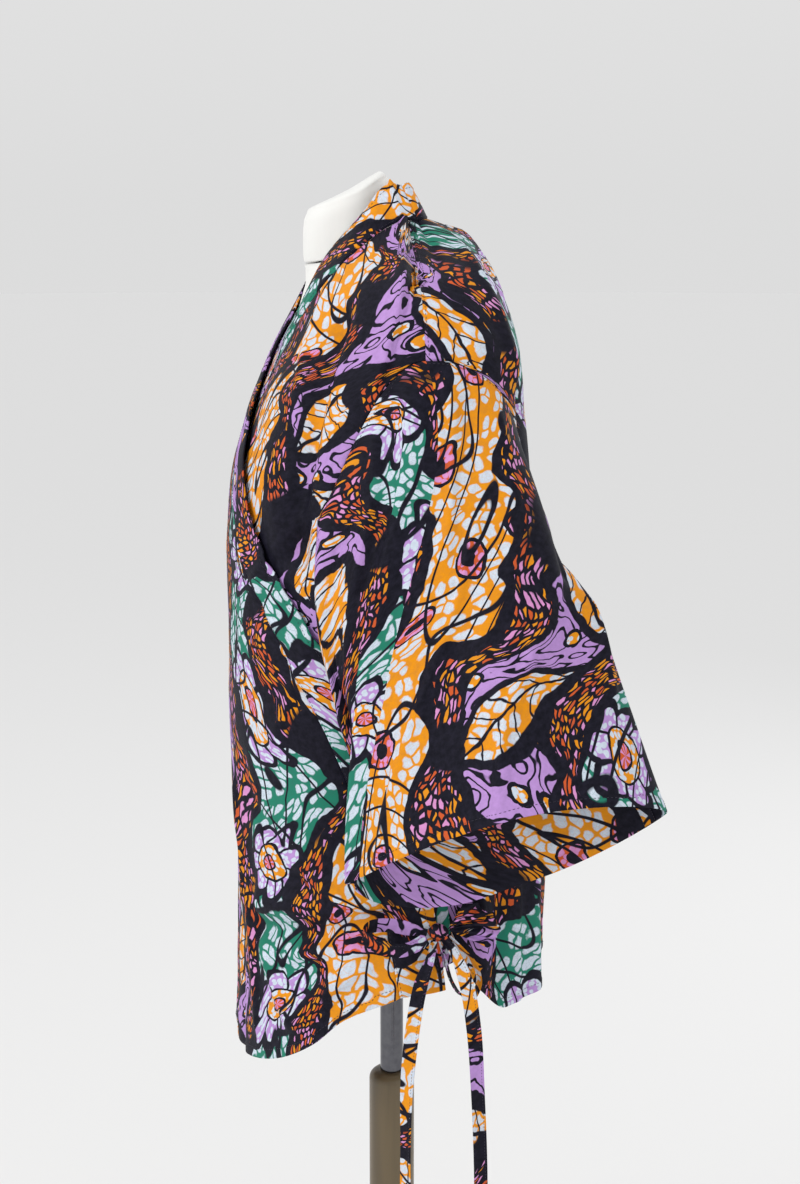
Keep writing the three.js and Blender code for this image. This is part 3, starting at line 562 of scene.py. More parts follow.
def form_rings(table, heights, lift=0.0):
    half, front, back, side, rise, pinch = (through(table, c) for c in range(1, 7))
    turn = np.linspace(0, math.tau, FORM_SIDES, endpoint=False)
    along = -np.cos(turn)
    rings = []
    for z in heights:
        reach = np.where(along < 0, front(z), back(z))
        y = mix(side(z), reach, np.abs(along) ** pinch(z))
        height = z + lift + rise(z) * (along + 1) / 2
        rings.append(np.stack([half(z) * np.sin(turn), y, height + 0 * y], -1))
    return np.array(rings)


def inset_ring(ring, inset, drop):
    """A ring drawn in towards its middle line, and lowered, to round an edge."""
    middle = ring.mean(0)
    way = ring - middle
    flat = np.linalg.norm(way[:, :2], axis=-1, keepdims=True)
    moved = ring - np.concatenate([way[:, :2] / flat * inset, np.zeros((len(ring), 1))], -1)
    moved[:, 2] -= drop
    return moved


def make_torso():
    rings = form_rings(TORSO_RINGS, np.linspace(TORSO_BOTTOM_Z, TORSO_TOP_Z, 150))
    start = [inset_ring(rings[0], inset, 0) for inset in (60, 12, 4, 1)]
    end = [inset_ring(rings[-1], 1.2, 0.1), inset_ring(rings[-1], 3.2, 1.4)]
    return ring_solid("torso", np.array([*start, *rings, *end]))


def make_neck():
    rings = form_rings(NECK_RINGS[:-1], np.linspace(TORSO_TOP_Z, NECK_EDGE_Z, 60), lift=NECK_LIFT)
    start = [inset_ring(rings[0], 3.2, -1.4), inset_ring(rings[0], 1.1, -0.2)]
    round_edge = 6.0
    top = []
    for step in range(1, 7):
        angle = math.radians(15 * step)
        ring = inset_ring(rings[-1], round_edge * (1 - math.cos(angle)), -4.2 * math.sin(angle))
        top.append(ring)
    return ring_solid("neck", np.array([*start, *rings[1:], *top]))


def lathe(name, profile, sides=96):
    turn = np.linspace(0, math.tau, sides, endpoint=False)
    rings = [
        np.stack([r * np.cos(turn), r * np.sin(turn), np.full(sides, float(z))], -1)
        for r, z in profile
    ]
    return ring_solid(name, np.array(rings))


def fillet(radius, z, size, is_top, steps=6):
    """Points of a round edge of a lathed piece, at its top or at its foot."""
    points = []
    for i in range(steps + 1):
        angle = math.radians(90 * i / steps)
        c, s = size * math.cos(angle), size * math.sin(angle)
        if is_top:
            points.append((radius - size + c, z - size + s))
        else:
            points.append((radius - size + s, z + size - c))
    return points


def make_stand():
    seam = 0.3
    foot = fillet(BASE_RADIUS, 0, 3, is_top=False)
    rim = [(BASE_RADIUS, 9), (BASE_RADIUS - 0.6, 11.4), (BASE_RADIUS - 2.4, 13.2)]
    slope = [(186, 14), (150, 15.9), (105, 18.1), (62, 20.2), (40, 21.4), (34, 22)]
    base = lathe("base", [(120, 0), *foot, *rim, *slope, (20, BASE_THICK)], 160)
    post_foot = BASE_THICK + seam
    shoulder = fillet(POST_RADIUS, POST_TOP_Z, 9, is_top=True)
    shaft = [(POST_RADIUS, z) for z in np.linspace(post_foot + 2, POST_TOP_Z - 9.5, 12)]
    post_edge = fillet(POST_RADIUS, post_foot, 1, is_top=False)
    post_profile = [(12, post_foot), *post_edge, *shaft, *shoulder]
    post = lathe("post", [*post_profile, (POLE_RADIUS - 3, POST_TOP_Z)])
    pole_foot, pole_top = POST_TOP_Z + seam, TORSO_BOTTOM_Z - seam
    pole = lathe(
        "pole",
        [(6, pole_foot), (POLE_RADIUS, pole_foot), (POLE_RADIUS, pole_foot + 0.4),
         (POLE_RADIUS, pole_top - 0.4), (POLE_RADIUS, pole_top), (6, pole_top)],
    )
    return base, post, pole


# ---------- Keeping the cloth off the form ----------


def form_tree(*things):
    vertices, faces = [], []
    for thing in things:
        start = len(vertices)
        vertices += [v.co / MM for v in thing.data.vertices]
        faces += [[start + i for i in p.vertices] for p in thing.data.polygons]
    return BVHTree.FromPolygons(vertices, faces)


def clear_of_form(points, tree):
    """Points nearer to the form than the clearance, or inside it, are moved out along it."""
    flat = points.reshape(-1, 3).copy()
    for i, point in enumerate(flat):
        hit, normal, _, _ = tree.find_nearest(Vector(point), FORM_SEARCH)
        if hit is None:
            continue
        height = (Vector(point) - hit).dot(normal)
        if height < FORM_CLEARANCE:
            flat[i] = np.array(hit + normal * FORM_CLEARANCE)
    return flat.reshape(points.shape)


# ---------- Panels of the body ----------


def armhole_place(turn):
    """A place on the armhole seam, by its turn from the top: positive towards the back."""
    across = np.sin(np.radians(turn))
    up = np.cos(np.radians(turn))
    is_back = across > 0
    y_full = np.where(is_back, ARMHOLE_BACK_FULL, 1)
    top_full = np.where(is_back, ARMHOLE_BACK_TOP, ARMHOLE_FRONT_TOP)
    rise = np.where(up > 0, np.abs(up) ** top_full, up)
    y = ARMHOLE_MID_Y + ARMHOLE_DEPTH * np.sign(across) * np.abs(across) ** y_full
    return y, ARMHOLE_MID_Z + ARMHOLE_HEIGHT * rise


UNDERARM_Y, UNDERARM_Z = (float(v) for v in armhole_place(180.0))
TIP_Y, TIP_Z = (float(v) for v in armhole_place(0.0))


def outer_edge(row, side, hem_y):
    """A left panel's outer edge, as turn and height; side is 1 for the back and -1 for a front."""
    t = np.clip(row / SHOULDER_ROWS, 0, 1)
    shoulder_z = mix(NECK_POINT_Z, TIP_Z, t)
    shoulder_turn = turn_at_y(mix(SHOULDER_SEAM_Y, TIP_Y, t), shoulder_z)
    share = np.clip((row - SHOULDER_ROWS) / ARMHOLE_ROWS, 0, 1)
    arm_y, arm_z = armhole_place(side * 180 * share)
    arm_turn = turn_at_y(arm_y, arm_z)
    s = np.clip((row - FIRST_SIDE_ROW) / SIDE_ROWS, 0, 1)
    hem_z = HEM_HEIGHT(turn_at_y(np.float64(hem_y), UNDERARM_Z))
    side_z = mix(UNDERARM_Z, hem_z, s)
    side_turn = turn_at_y(mix(UNDERARM_Y, hem_y, s), side_z)
    in_shoulder, in_armhole = row <= SHOULDER_ROWS, row <= FIRST_SIDE_ROW
    turn = np.where(in_shoulder, shoulder_turn, np.where(in_armhole, arm_turn, side_turn))
    return turn, np.where(in_shoulder, shoulder_z, np.where(in_armhole, arm_z, side_z))


def row_height(row, turn):
    upper = mix(NECK_POINT_Z, TIP_Z, row / SHOULDER_ROWS)
    middle = mix(TIP_Z, UNDERARM_Z, (row - SHOULDER_ROWS) / ARMHOLE_ROWS)
    lower = mix(UNDERARM_Z, HEM_HEIGHT(wrap_turn(turn)), (row - FIRST_SIDE_ROW) / SIDE_ROWS)
    return np.where(row <= SHOULDER_ROWS, upper, np.where(row <= FIRST_SIDE_ROW, middle, lower))


def seam_place(seam_turn, row):
    """Where a row meets the collar band, found by steps because the hem's height turns with it."""
    z = row_height(row, 0 * row)
    for _ in range(12):
        turn = seam_turn(z)
        z = row_height(row, turn)
    return turn, z


# how many shown rows each of the solids' own rows is split into
SHOULDER_SPLIT, ARMHOLE_SPLIT, SIDE_SPLIT = 10, 5, 9
NECK_END, HEM_END = [0.0, 0.02, 0.05], [0.06, 0.026, 0.01, 0.0]  # the close rows at both ends
# the rows that the print is measured from: a panel's first below the shoulder, and a sleeve's
SHOULDER_LEVEL = len(NECK_END) + SHOULDER_ROWS * SHOULDER_SPLIT
SLEEVE_LEVEL = 40


def fine_rows():
    """Rows of a shown panel, in the solids' own row numbers, closer at the neck and the hem."""
    shoulder = np.linspace(0, SHOULDER_ROWS, SHOULDER_ROWS * SHOULDER_SPLIT + 1)[1:]
    armhole = np.linspace(SHOULDER_ROWS, FIRST_SIDE_ROW, ARMHOLE_ROWS * ARMHOLE_SPLIT + 1)[1:]
    side = np.linspace(FIRST_SIDE_ROW, LAST_ROW, SIDE_ROWS * SIDE_SPLIT + 1)[1:-1]
    return np.concatenate([NECK_END, shoulder, armhole, side, LAST_ROW - np.array(HEM_END)])


def panel(name, columns, is_under, edges, width, tree):
    """A panel of the body between two edges; edges gives (turn, z) of both for every row."""
    rows = fine_rows()[:, None]
    (from_turn, from_z), (to_turn, to_z) = edges(rows)
    share = edge_spaced(columns, width)[None, :]
    turn = mix(from_turn, to_turn, share)
    middle = row_height(rows, turn)
    near_from = smooth(1 - (turn - from_turn) / EDGE_BLEND) * (from_z - middle)
    near_to = smooth(1 - (to_turn - turn) / EDGE_BLEND) * (to_z - middle)
    z = middle + np.where(rows < FIRST_SIDE_ROW, near_from + near_to, 0)
    points = body_point(turn, z, is_under)
    outward = body_normal(turn, z)
    across = lengths(points, 1)
    down = lengths(points, 0)
    to_side = np.minimum(across, across[:, -1:] - across)
    to_hem, to_neck = down[-1:] - down, down
    pucker = 0.15 * np.sin(down * math.tau / 13 + 2.5 * ripple(down, across, 8, 60))
    roll = -SEAM_ROLL * np.exp(-((to_side / 1.9) ** 2)) + pucker * np.exp(-((to_side / 6) ** 2))
    roll = roll - 0.5 * SEAM_ROLL * np.exp(-((to_neck / 2.0) ** 2))
    flare = 0.8 * ripple(across, down * 0.2, 12, 90) * np.exp(-((to_hem / 16) ** 2))
    points = points + outward * (roll + flare)[..., None]
    points = clear_of_form(points, tree)
    thick = rounded(np.minimum(np.minimum(to_side, to_hem), to_neck), hemmed(to_hem))
    uv = cut_uv(name, points, share.shape[1] // 2, level=SHOULDER_LEVEL)
    piece = wall(name, points, outward, thick, uv)
    normals = grid_normals(points, False, outward)
    stitch_lines[name] = along_hem(points, normals, to_hem, HEM_STITCH)
    if name != "left_front":
        shoulder = rows[:, 0] < SHOULDER_ROWS
        for distance in (across, across[:, -1:] - across):
            column = np.argmin(np.abs(distance[shoulder] - SEAM_STITCH), axis=1)
            row = np.flatnonzero(shoulder)
            seam_lines.append((points[row, column], normals[row, column], CLOTH / 2))
    return piece


def along_hem(points, normals, to_hem, inset):
    """The line at a distance above the hem, with the outward normals along it."""
    row = np.argmin(np.abs(to_hem - inset), axis=0)
    column = np.arange(points.shape[1])
    return points[row, column], normals[row, column]


stitch_lines = {}
seam_lines, overlock_lines = [], []


def back_edges(row):
    left = outer_edge(row, 1, SIDE_HEM_Y_LEFT)
    right = outer_edge(row, 1, SIDE_HEM_Y_RIGHT)
    return left, (360 - right[0], right[1])


def front_left_edges(row):
    return seam_place(LEFT_SEAM_TURN, row), outer_edge(row, -1, SIDE_HEM_Y_LEFT)


def front_right_edges(row):
    right = outer_edge(row, -1, SIDE_HEM_Y_RIGHT)
    return (-right[0], right[1]), seam_place(RIGHT_SEAM_TURN, row)


# ---------- Collar band ----------


def mm_per_degree(turn, z):
    return np.linalg.norm(plain_body(turn - 2, z) - plain_body(turn + 2, z), axis=-1) / 4


def seam_slope(seam_turn, z):
    step = 6
    change = (seam_turn(z + step) - seam_turn(z - step)) * mm_per_degree(seam_turn(z), z)
    return change / (2 * step)


def band_stations(turn, z, slope, side, reach):
    """The band across each of its stations: from its seam to its free edge."""
    turn, z, slope = (np.asarray(a, float)[:, None] for a in (turn, z, slope))
    is_under = side > 0
    seam = body_point(turn, z, is_under)
    outward = unit((seam - np.array([0, SIDE_Y, 0])) * np.array([1, 1, 0]))
    up = np.array([0.0, 0.0, 1.0])
    lean = mix(-0.8, -0.48, smooth((z - 1378) / 30))[..., None]
    pitch = BAND_PITCH * (1 - np.abs(outward[..., 1:2]))
    standing = unit(up + outward * lean - pitch * np.array([0, 1, 0]))
    stand_share = smooth((z - BAND_LIES_Z) / (BAND_STANDS_Z - BAND_LIES_Z))[..., None]
    run = np.hypot(1, slope)
    step = -side * reach / run / mm_per_degree(turn, z)
    lie_turn, lie_z = turn + step, z + side * reach * slope / run
    lying = body_point(lie_turn, lie_z, is_under)
    lying_normal = body_normal(lie_turn, lie_z)
    roll = BAND_ROLL * smooth((z - 1300) / 40) * smooth((1400 - z) / 20) * reach / BAND_WIDTH
    lying = lying + lying_normal * roll[..., None]
    stood = seam + standing * reach[..., None]
    points = mix(stood, lying, 1 - stand_share)
    return points, unit(mix(unit(outward + up / 2), lying_normal, 1 - stand_share))


def make_band(tree):
    gap, width = 0.25, BAND_WIDTH
    reach = gap + edge_spaced(12, width)[None, :] * width
    rows = fine_rows()[::-1]
    left_turn, left_z = seam_place(LEFT_SEAM_TURN, rows)
    left = band_stations(left_turn, left_z, seam_slope(LEFT_SEAM_TURN, left_z), 1, reach)
    start = float(turn_at_y(np.float64(SHOULDER_SEAM_Y), NECK_POINT_Z))
    neck_turn = np.linspace(start, 360 - start, 90)
    neck_z = np.full(len(neck_turn), float(NECK_POINT_Z))
    flat = np.zeros(len(neck_turn))
    halves = [band_stations(neck_turn, neck_z, flat, side, reach) for side in (1, -1)]
    is_left = (neck_turn < 180)[:, None, None]
    neck = [np.where(is_left, a, b) for a, b in zip(*halves)]
    rows = rows[::-1]
    right_turn, right_z = seam_place(RIGHT_SEAM_TURN, rows)
    right = band_stations(right_turn, right_z, seam_slope(RIGHT_SEAM_TURN, right_z), -1, reach)
    points = np.concatenate([left[0], neck[0], right[0]])
    outward = np.concatenate([left[1], neck[1], right[1]])
    along, across = lengths(points, 0), lengths(points, 1)
    to_edge = np.minimum(across, across[:, -1:] - across)
    to_end = np.minimum(along, along[-1:] - along)
    crown = 0.5 * np.sin(np.pi * np.clip(across / width, 0, 1))
    crown = crown + 0.35 * ripple(along, across, 21, 70)
    seam_side = -0.5 * np.exp(-((across / 1.6) ** 2))
    points = points + outward * (crown + seam_side)[..., None]
    points = clear_of_form(points, tree)
    thick = rounded(np.minimum(to_edge, to_end), BAND_CLOTH)
    uv = cut_uv("collar", points, points.shape[1] // 2)
    piece = wall("collar", points, outward, thick, uv)
    normals = grid_normals(points, False, outward)
    for name, inset in (("collar_seam", 3.0), ("collar_edge", width - 2.6)):
        column = int(np.argmin(np.abs(across.mean(0) - inset)))
        stitch_lines[name] = (points[:, column], normals[:, column])
    return piece


# ---------- Sleeves ----------


def spline(points, shares):
    """The centripetal curve through a few points, at shares counted evenly from point to point."""
    control = np.array(points, float)
    before, after = 2 * control[0] - control[1], 2 * control[-1] - control[-2]
    padded = np.concatenate([[before], control, [after]])
    where = np.clip(np.asarray(shares, float), 0, 1) * (len(control) - 1)
    i = np.minimum(where.astype(int), len(control) - 2)
    t = (where - i)[..., None]
    p0, p1, p2, p3 = (padded[i + k] for k in range(4))
    d0, d1, d2 = (
        np.linalg.norm(b - a, axis=-1, keepdims=True) ** 0.5
        for a, b in ((p0, p1), (p1, p2), (p2, p3))
    )
    m1 = (p1 - p0) / d0 - (p2 - p0) / (d0 + d1) + (p2 - p1) / d1
    m2 = (p2 - p1) / d1 - (p3 - p1) / (d1 + d2) + (p3 - p2) / d2
    m1, m2 = m1 * d1, m2 * d1
    a = 2 * p1 - 2 * p2 + m1 + m2
    b = -3 * p1 + 3 * p2 - 2 * m1 - m2
    return ((a * t + b) * t + m1) * t + p1


def guide_ring(turn, down):
    at = {name: spline(points, down) for name, points in SLEEVE_GUIDES.items()}
    middle = (at["back"] + at["front"]) / 2
    across = np.sin(np.radians(turn))[..., None]
    along = np.cos(np.radians(turn))[..., None]
    sideways = np.where(across > 0, at["back"], at["front"]) - middle
    upright = np.where(along > 0, at["outer"], at["inner"]) - middle
    across = np.abs(across) ** PRESSED_ACROSS
    return middle + sideways * across + upright * np.abs(along) ** PRESSED_ALONG


def armhole_seam(turn, is_left):
    y, z = armhole_place(wrap_turn(turn))
    body_turn = turn_at_y(y, z)
    if is_left:
        point, normal = body_point(body_turn, z, True), body_normal(body_turn, z)
    else:
        point = body_point(-body_turn, z, False) * MIRROR
        normal = body_normal(-body_turn, z) * MIRROR
    return point + normal * SLEEVE_LIFT


def make_sleeve(name, is_left, phase):
    """A sleeve with the seam allowance inside it; phase shifts the waves round its cuff."""
    turns = np.linspace(0, 360, 2 * UNDERARM_COLUMN + 1)[:-1]
    seam_end, cuff_end = [0, 0.0018, 0.0045], [0.9975, 0.9992, 1.0]
    down = np.concatenate([seam_end, np.linspace(0.011, 0.994, 104), cuff_end])
    turn, share = np.meshgrid(turns, down)
    seam = armhole_seam(turns, is_left)[None]

    def middle(t, d):
        pull = armhole_seam(t[0], is_left)[None] - guide_ring(t, 0 * d)
        return guide_ring(t + SLEEVE_TWIST * smooth(d), d) + pull * ((1 - d) ** 6)[..., None]

    plain = middle(turn, share)
    plain[0] = seam
    centre = plain.mean(1, keepdims=True)
    normals = grid_normals(plain, True, plain - centre)
    folds = fold_height(turn, share, SLEEVE_FOLDS, math.radians(SLEEVE_RADIUS), SLEEVE_LENGTH)
    folds = folds * smooth(share / 0.1)
    angle = np.radians(turn)
    along, around = share * SLEEVE_LENGTH, angle * SLEEVE_RADIUS
    wavy = np.sin(angle * 3 + phase) * 1.6 * smooth((share - 0.3) / 0.7)
    across = np.cos(angle) * SLEEVE_RADIUS
    uneven = 0.8 * ripple(across, along + 60 * np.sin(angle), 31 + is_left, 150)
    pucker = 0.16 * np.sin(around * math.tau / 13) * np.exp(-((along / 7) ** 2))
    lift = folds + wavy + uneven * smooth(share / 0.12) + pucker
    points = plain + normals * lift[..., None]
    run = lengths(points, 0)
    to_hem = run[-1:] - run
    thick = rounded(np.minimum(run, to_hem), hemmed(to_hem))
    if not is_left:
        points = points * MIRROR
    outward = points - points.mean(1, keepdims=True)
    uv = cut_uv(name, points, 0, is_ring=True, level=SLEEVE_LEVEL)
    piece = wall(name, points, outward, thick, uv, is_ring=True)
    true_normals = grid_normals(points, True, outward)
    stitch_lines[name] = along_hem(points, true_normals, to_hem, HEM_STITCH)
    seam_lines.append((*along_hem(points, true_normals, run, SEAM_STITCH), CLOTH / 2))
    return piece, seam_allowance(name, points, true_normals, outward)


def seam_allowance(name, points, normals, outward):
    """The pressed seam allowance inside a sleeve, from the armhole down the underarm."""
    strip = slice(UNDERARM_COLUMN - 2, UNDERARM_COLUMN + 3)
    inside = (points - normals * ALLOWANCE_DEPTH)[4:-2, strip]
    uv = cut_uv("sleeve_seam", inside, 2)
    edge_distance = 5.0 - 5.0 * np.abs(np.linspace(-1, 1, inside.shape[1]))[None]
    thick = rounded(edge_distance + 0 * inside[..., 0], ALLOWANCE_THICK)
    for column in (0, -1):
        overlock_lines.append((inside[:, column], -normals[4:-2, strip][:, column], 0.25))
    return wall(name + "_seam", inside, outward[4:-2, strip], thick, uv)


# ---------- Tie, bow and gathered corner ----------


def knot_centre():
    turn, z = np.float64(KNOT_TURN), np.float64(KNOT_Z)
    normal = body_normal(turn, z)
    seat = plain_body(turn, z) + normal * fold_height(turn, z, BODY_FOLDS, FOLD_SCALE, 1)
    return seat + normal * KNOT_REACH


def at_lengths(values, run, at):
    """What a line's values are at one or more lengths along it."""
    return np.stack([np.interp(at, run, values[:, k]) for k in range(3)], -1)


def even_curve(points, count):
    dense = spline(points, np.linspace(0, 1, 600))
    run = lengths(dense[None], 1)[0]
    at = np.linspace(0, run[-1], count)
    return at_lengths(dense, run, at), run[-1]


def make_strap(name, count=120):
    """A flat folded tie along its route: a closed strip with round edges and a slight curl."""
    route = np.array(STRAP_ROUTES[name], float) + knot_centre()
    line, length = even_curve(route, count)
    tangent = unit(np.gradient(line, axis=0))
    way = unit(np.array(STRAP_WIDTH_WAYS[name], float))
    across = unit(way - tangent * (tangent @ way)[:, None])
    face = np.cross(tangent, across)
    share = np.linspace(0, 1, count)
    angle = STRAP_TWISTS[name] * smooth(share * 1.1) + 0.12 * np.sin(share * 9 + len(name))
    c, s = np.cos(angle)[:, None], np.sin(angle)[:, None]
    across, face = across * c + face * s, face * c - across * s
    near_knot = np.minimum(share, 1.2 - share) * 6
    half = TIE_WIDTH / 2 * mix(0.5, 1, smooth(near_knot)) - 0.25
    offset = (edge_spaced(5, TIE_WIDTH) * 2 - 1)[None, :]
    curl = 0.9 * (offset**2 - 0.4) * mix(2.4, 1, smooth(near_knot))[:, None]
    points = line[:, None] + across[:, None] * (half[:, None] * offset)[..., None]
    points = points + face[:, None] * curl[..., None]
    to_edge = (1 - np.abs(offset)) * half[:, None]
    to_end = np.minimum(share, 1 - share)[:, None] * length
    thick = rounded(np.minimum(to_edge, to_end), 1.4)
    outward = np.broadcast_to(face[:, None], points.shape)
    piece = wall(name + "_cloth", points, outward, thick, cut_uv(name, points, 5))
    normals = grid_normals(points, False, outward)
    edge = points.shape[1] - 4
    stitch_lines[name] = (points[2:-2, edge], normals[2:-2, edge])
    return piece


def make_knot():
    """The knot: a small pulled bundle, with the tie's turns showing as soft creases."""
    turns = np.linspace(0, math.tau, 72, endpoint=False)
    tilts = np.linspace(0.02, math.pi - 0.02, 44)
    tilt, turn = np.meshgrid(tilts, turns, indexing="ij")
    x = np.sin(tilt) * np.cos(turn)
    y = np.sin(tilt) * np.sin(turn)
    z = np.cos(tilt)
    strand = 0.10 * np.abs(np.sin(3.2 * (0.8 * z + 0.6 * y) + 0.5 * x)) - 0.06
    pinch = -0.16 * np.exp(-(((y - 0.15 * z) / 0.16) ** 2)) * (x > -0.2)
    size = 0.97 + strand + pinch
    points = np.stack([way * size * half for way, half in zip((x, y, z), KNOT_HALF)], -1)
    piece = ring_solid("knot", (points + knot_centre())[::-1])
    layer = piece.data.uv_layers.new(name="cut")
    _, shift = LAID["knot"]
    for corner in piece.data.loops:
        spot = piece.data.vertices[corner.vertex_index].co
        layer.data[corner.index].uv = (spot.y + shift[0], spot.z + 0.6 * spot.x + shift[1])
    return piece


def make_gather():
    """The wrapped front's corner, drawn into the knot and spread behind it like a small fan."""
    rings, ribs = 40, 150
    out = np.linspace(2, GATHER_REACH, rings)[:, None]
    share = np.linspace(0, 1, ribs)[None, :]
    angle = np.radians(mix(-38, 70, share))
    start = knot_centre() + np.array([0, KNOT_HALF[1] - 1.2, 2])
    folds = np.cos(share * math.tau * 4.2 + 0.5 * np.sin(share * 9))
    crest = np.sign(folds) * np.abs(folds) ** 0.7
    lift = out * (0.025 + 0.075 * crest) + 1.2 * np.sin(out / 9 + share * 7)
    curl = -3.5 * smooth((out - 34) / 12)
    reach = out * (1 + 0.05 * np.sin(share * 23))
    y = reach * np.cos(angle)
    z = 0.6 * reach * np.sin(angle) + curl * 0.3
    points = start + np.stack([lift + curl * 0.5 + 0 * y, y, z], -1)
    outward = np.broadcast_to(np.array([1.0, 0, 0]), points.shape)
    to_rim = GATHER_REACH - out + 0 * share
    thick = rounded(np.minimum(to_rim, 30), CLOTH + HEM_EXTRA * smooth((9 - to_rim) / 1.4))
    return wall("gather", points, outward, thick, cut_uv("gather", points, ribs // 2))


# ---------- Stitches ----------


def stitches(name, lines, length=2.5, gap=1.1, thick=0.42, raise_by=0.16):
    """One mesh of small round stitches laid end to end along lines of (points, normals)."""
    vertices, faces = [], []
    for points, normals, lift in lines:
        run = lengths(points[None], 1)[0]
        for start in np.arange(1.0, run[-1] - length, length + gap):
            first, centre, last = (
                at_lengths(points, run, start + length * share) for share in (0, 0.5, 1)
            )
            normal = at_lengths(normals, run, start + length / 2)
            normal = normal / np.linalg.norm(normal)
            way = last - first
            side = np.cross(way, normal)
            side = side / max(np.linalg.norm(side), 1e-9)
            middle = centre + normal * (lift + raise_by)
            base = len(vertices)
            vertices += [middle - way / 2 - normal * 0.3, middle + way / 2 - normal * 0.3]
            for share in (-0.28, 0.28):
                for angle in range(0, 360, 60):
                    a = math.radians(angle)
                    turned = side * math.cos(a) + normal * math.sin(a) * 0.7
                    vertices.append(middle + way * share + turned * thick / 2)
            for k in range(6):
                n = (k + 1) % 6
                a, b = base + 2 + k, base + 2 + n
                faces.append((base, b, a))
                faces.append((a, b, b + 6, a + 6))
                faces.append((base + 1, a + 6, b + 6))
    return new_object(name, vertices, faces)


# ---------- Materials ----------


def linear(red, green, blue):
    """A colour given as the eye reads it, from 0 to 255, in Blender's linear values."""
    parts = (c / 255 for c in (red, green, blue))
    return (*(c / 12.92 if c < 0.04045 else ((c + 0.055) / 1.055) ** 2.4 for c in parts), 1)


INK = linear(12, 12, 24)
LAVENDER = linear(190, 148, 214)
ORANGE = linear(236, 150, 14)
WAX = linear(212, 224, 238)
TEAL = linear(34, 128, 104)
RUST = linear(212, 92, 40)
PINK = linear(222, 150, 206)


def math_method(kind):
    return lambda self, *others: self.op(kind, *others)


class Field:
    """A number or colour that varies over a surface, written as an expression."""

    def __init__(self, tree, socket):
        self.tree, self.socket = tree, socket

    def op(self, kind, *others, clamp=False):
        node = self.tree.nodes.new("ShaderNodeMath")
        node.operation, node.use_clamp = kind, clamp
        for slot, value in zip(node.inputs, (self, *others)):
            connect(value, slot)
        return Field(self.tree, node.outputs[0])

    __add__, __sub__ = math_method("ADD"), math_method("SUBTRACT")
    __mul__, __truediv__ = math_method("MULTIPLY"), math_method("DIVIDE")
    abs, sin, cos = math_method("ABSOLUTE"), math_method("SINE"), math_method("COSINE")
    floor, fract = math_method("FLOOR"), math_method("FRACT")
    modulo = math_method("FLOORED_MODULO")
    both, either = math_method("MINIMUM"), math_method("MAXIMUM")

    def less(self, limit, soft=0.0):
        """1 where this is under the limit, 0 where it is over, and soft between."""
        if not soft:
            return self.op("LESS_THAN", limit)
        return ((self - limit) * (-1 / soft) + 0.5).op("ADD", 0.0, clamp=True)

    def over(self, limit, soft=0.0):
        return self.less(limit, soft).opposite()

    def opposite(self):
        return self * -1 + 1

    def from_half(self):
        """How far the fraction is from a half: stripes, when it is then cut by less."""
        return (self.fract() - 0.5).abs()


def field(node, output):
    return Field(node.id_data, node.outputs[output])


def connect(value, slot):
    if isinstance(value, Field):
        value.tree.links.new(value.socket, slot)
    else:
        slot.default_value = value


def set_inputs(node, values):
    for name, value in values.items():
        connect(value, node.inputs[name])


def joined(*values):
    node = values[0].tree.nodes.new("ShaderNodeCombineXYZ")
    for value, slot in zip(values, node.inputs):
        connect(value, slot)
    return field(node, 0)


def noise(place, scale, detail=2.0, output="Fac", rough=0.5, dimensions="2D"):
    node = place.tree.nodes.new("ShaderNodeTexNoise")
    node.noise_dimensions = dimensions
    set_inputs(node, {"Vector": place, "Scale": scale, "Detail": detail, "Roughness": rough})
    return field(node, output)


def cells(place, scale, random=1.0, feature="F1", output="Distance"):
    node = place.tree.nodes.new("ShaderNodeTexVoronoi")
    node.voronoi_dimensions, node.feature = "2D", feature
    set_inputs(node, {"Vector": place, "Scale": scale, "Randomness": random})
    return field(node, output)


def parts_of(vector):
    node = vector.tree.nodes.new("ShaderNodeSeparateXYZ")
    connect(vector, node.inputs[0])
    return [field(node, k) for k in range(3)]


def blend(share, under, top):
    """One colour over another; a Mix node has its colours at inputs 6 and 7 and at output 2."""
    node = share.tree.nodes.new("ShaderNodeMix")
    node.data_type = "RGBA"
    for value, slot in zip((share, under, top), (0, 6, 7)):
        connect(value, node.inputs[slot])
    return field(node, 2)


def new_material(name):
    material = bpy.data.materials.new(name)
    material.use_nodes = True
    return material, material.node_tree.nodes["Principled BSDF"]


def own_place(material):
    """A piece's own places, in metres."""
    return field(material.node_tree.nodes.new("ShaderNodeTexCoord"), "Object")


def add_bump(shader, height, strength, distance, before=None):
    """A bump on the shader, laid over the one before it."""
    bump = height.tree.nodes.new("ShaderNodeBump")
    set_inputs(bump, {"Strength": strength, "Distance": distance, "Height": height})
    if before:
        connect(before, bump.inputs["Normal"])
    relief = field(bump, 0)
    connect(relief, shader.inputs["Normal"])
    return relief


# The print's layout, in metres of flat cloth.
COLUMN_WIDTH = 0.118  # from one vine to the next
LEAF_PITCH, ROSETTE_PITCH = 0.128, 0.142
LEAF_HALF = 0.060
WARP_PITCH, WEFT_PITCH = 0.00052, 0.00058  # of the cotton's weave
WALE_PITCH, COURSE_PITCH = 0.0011, 0.0009  # of the form's jersey


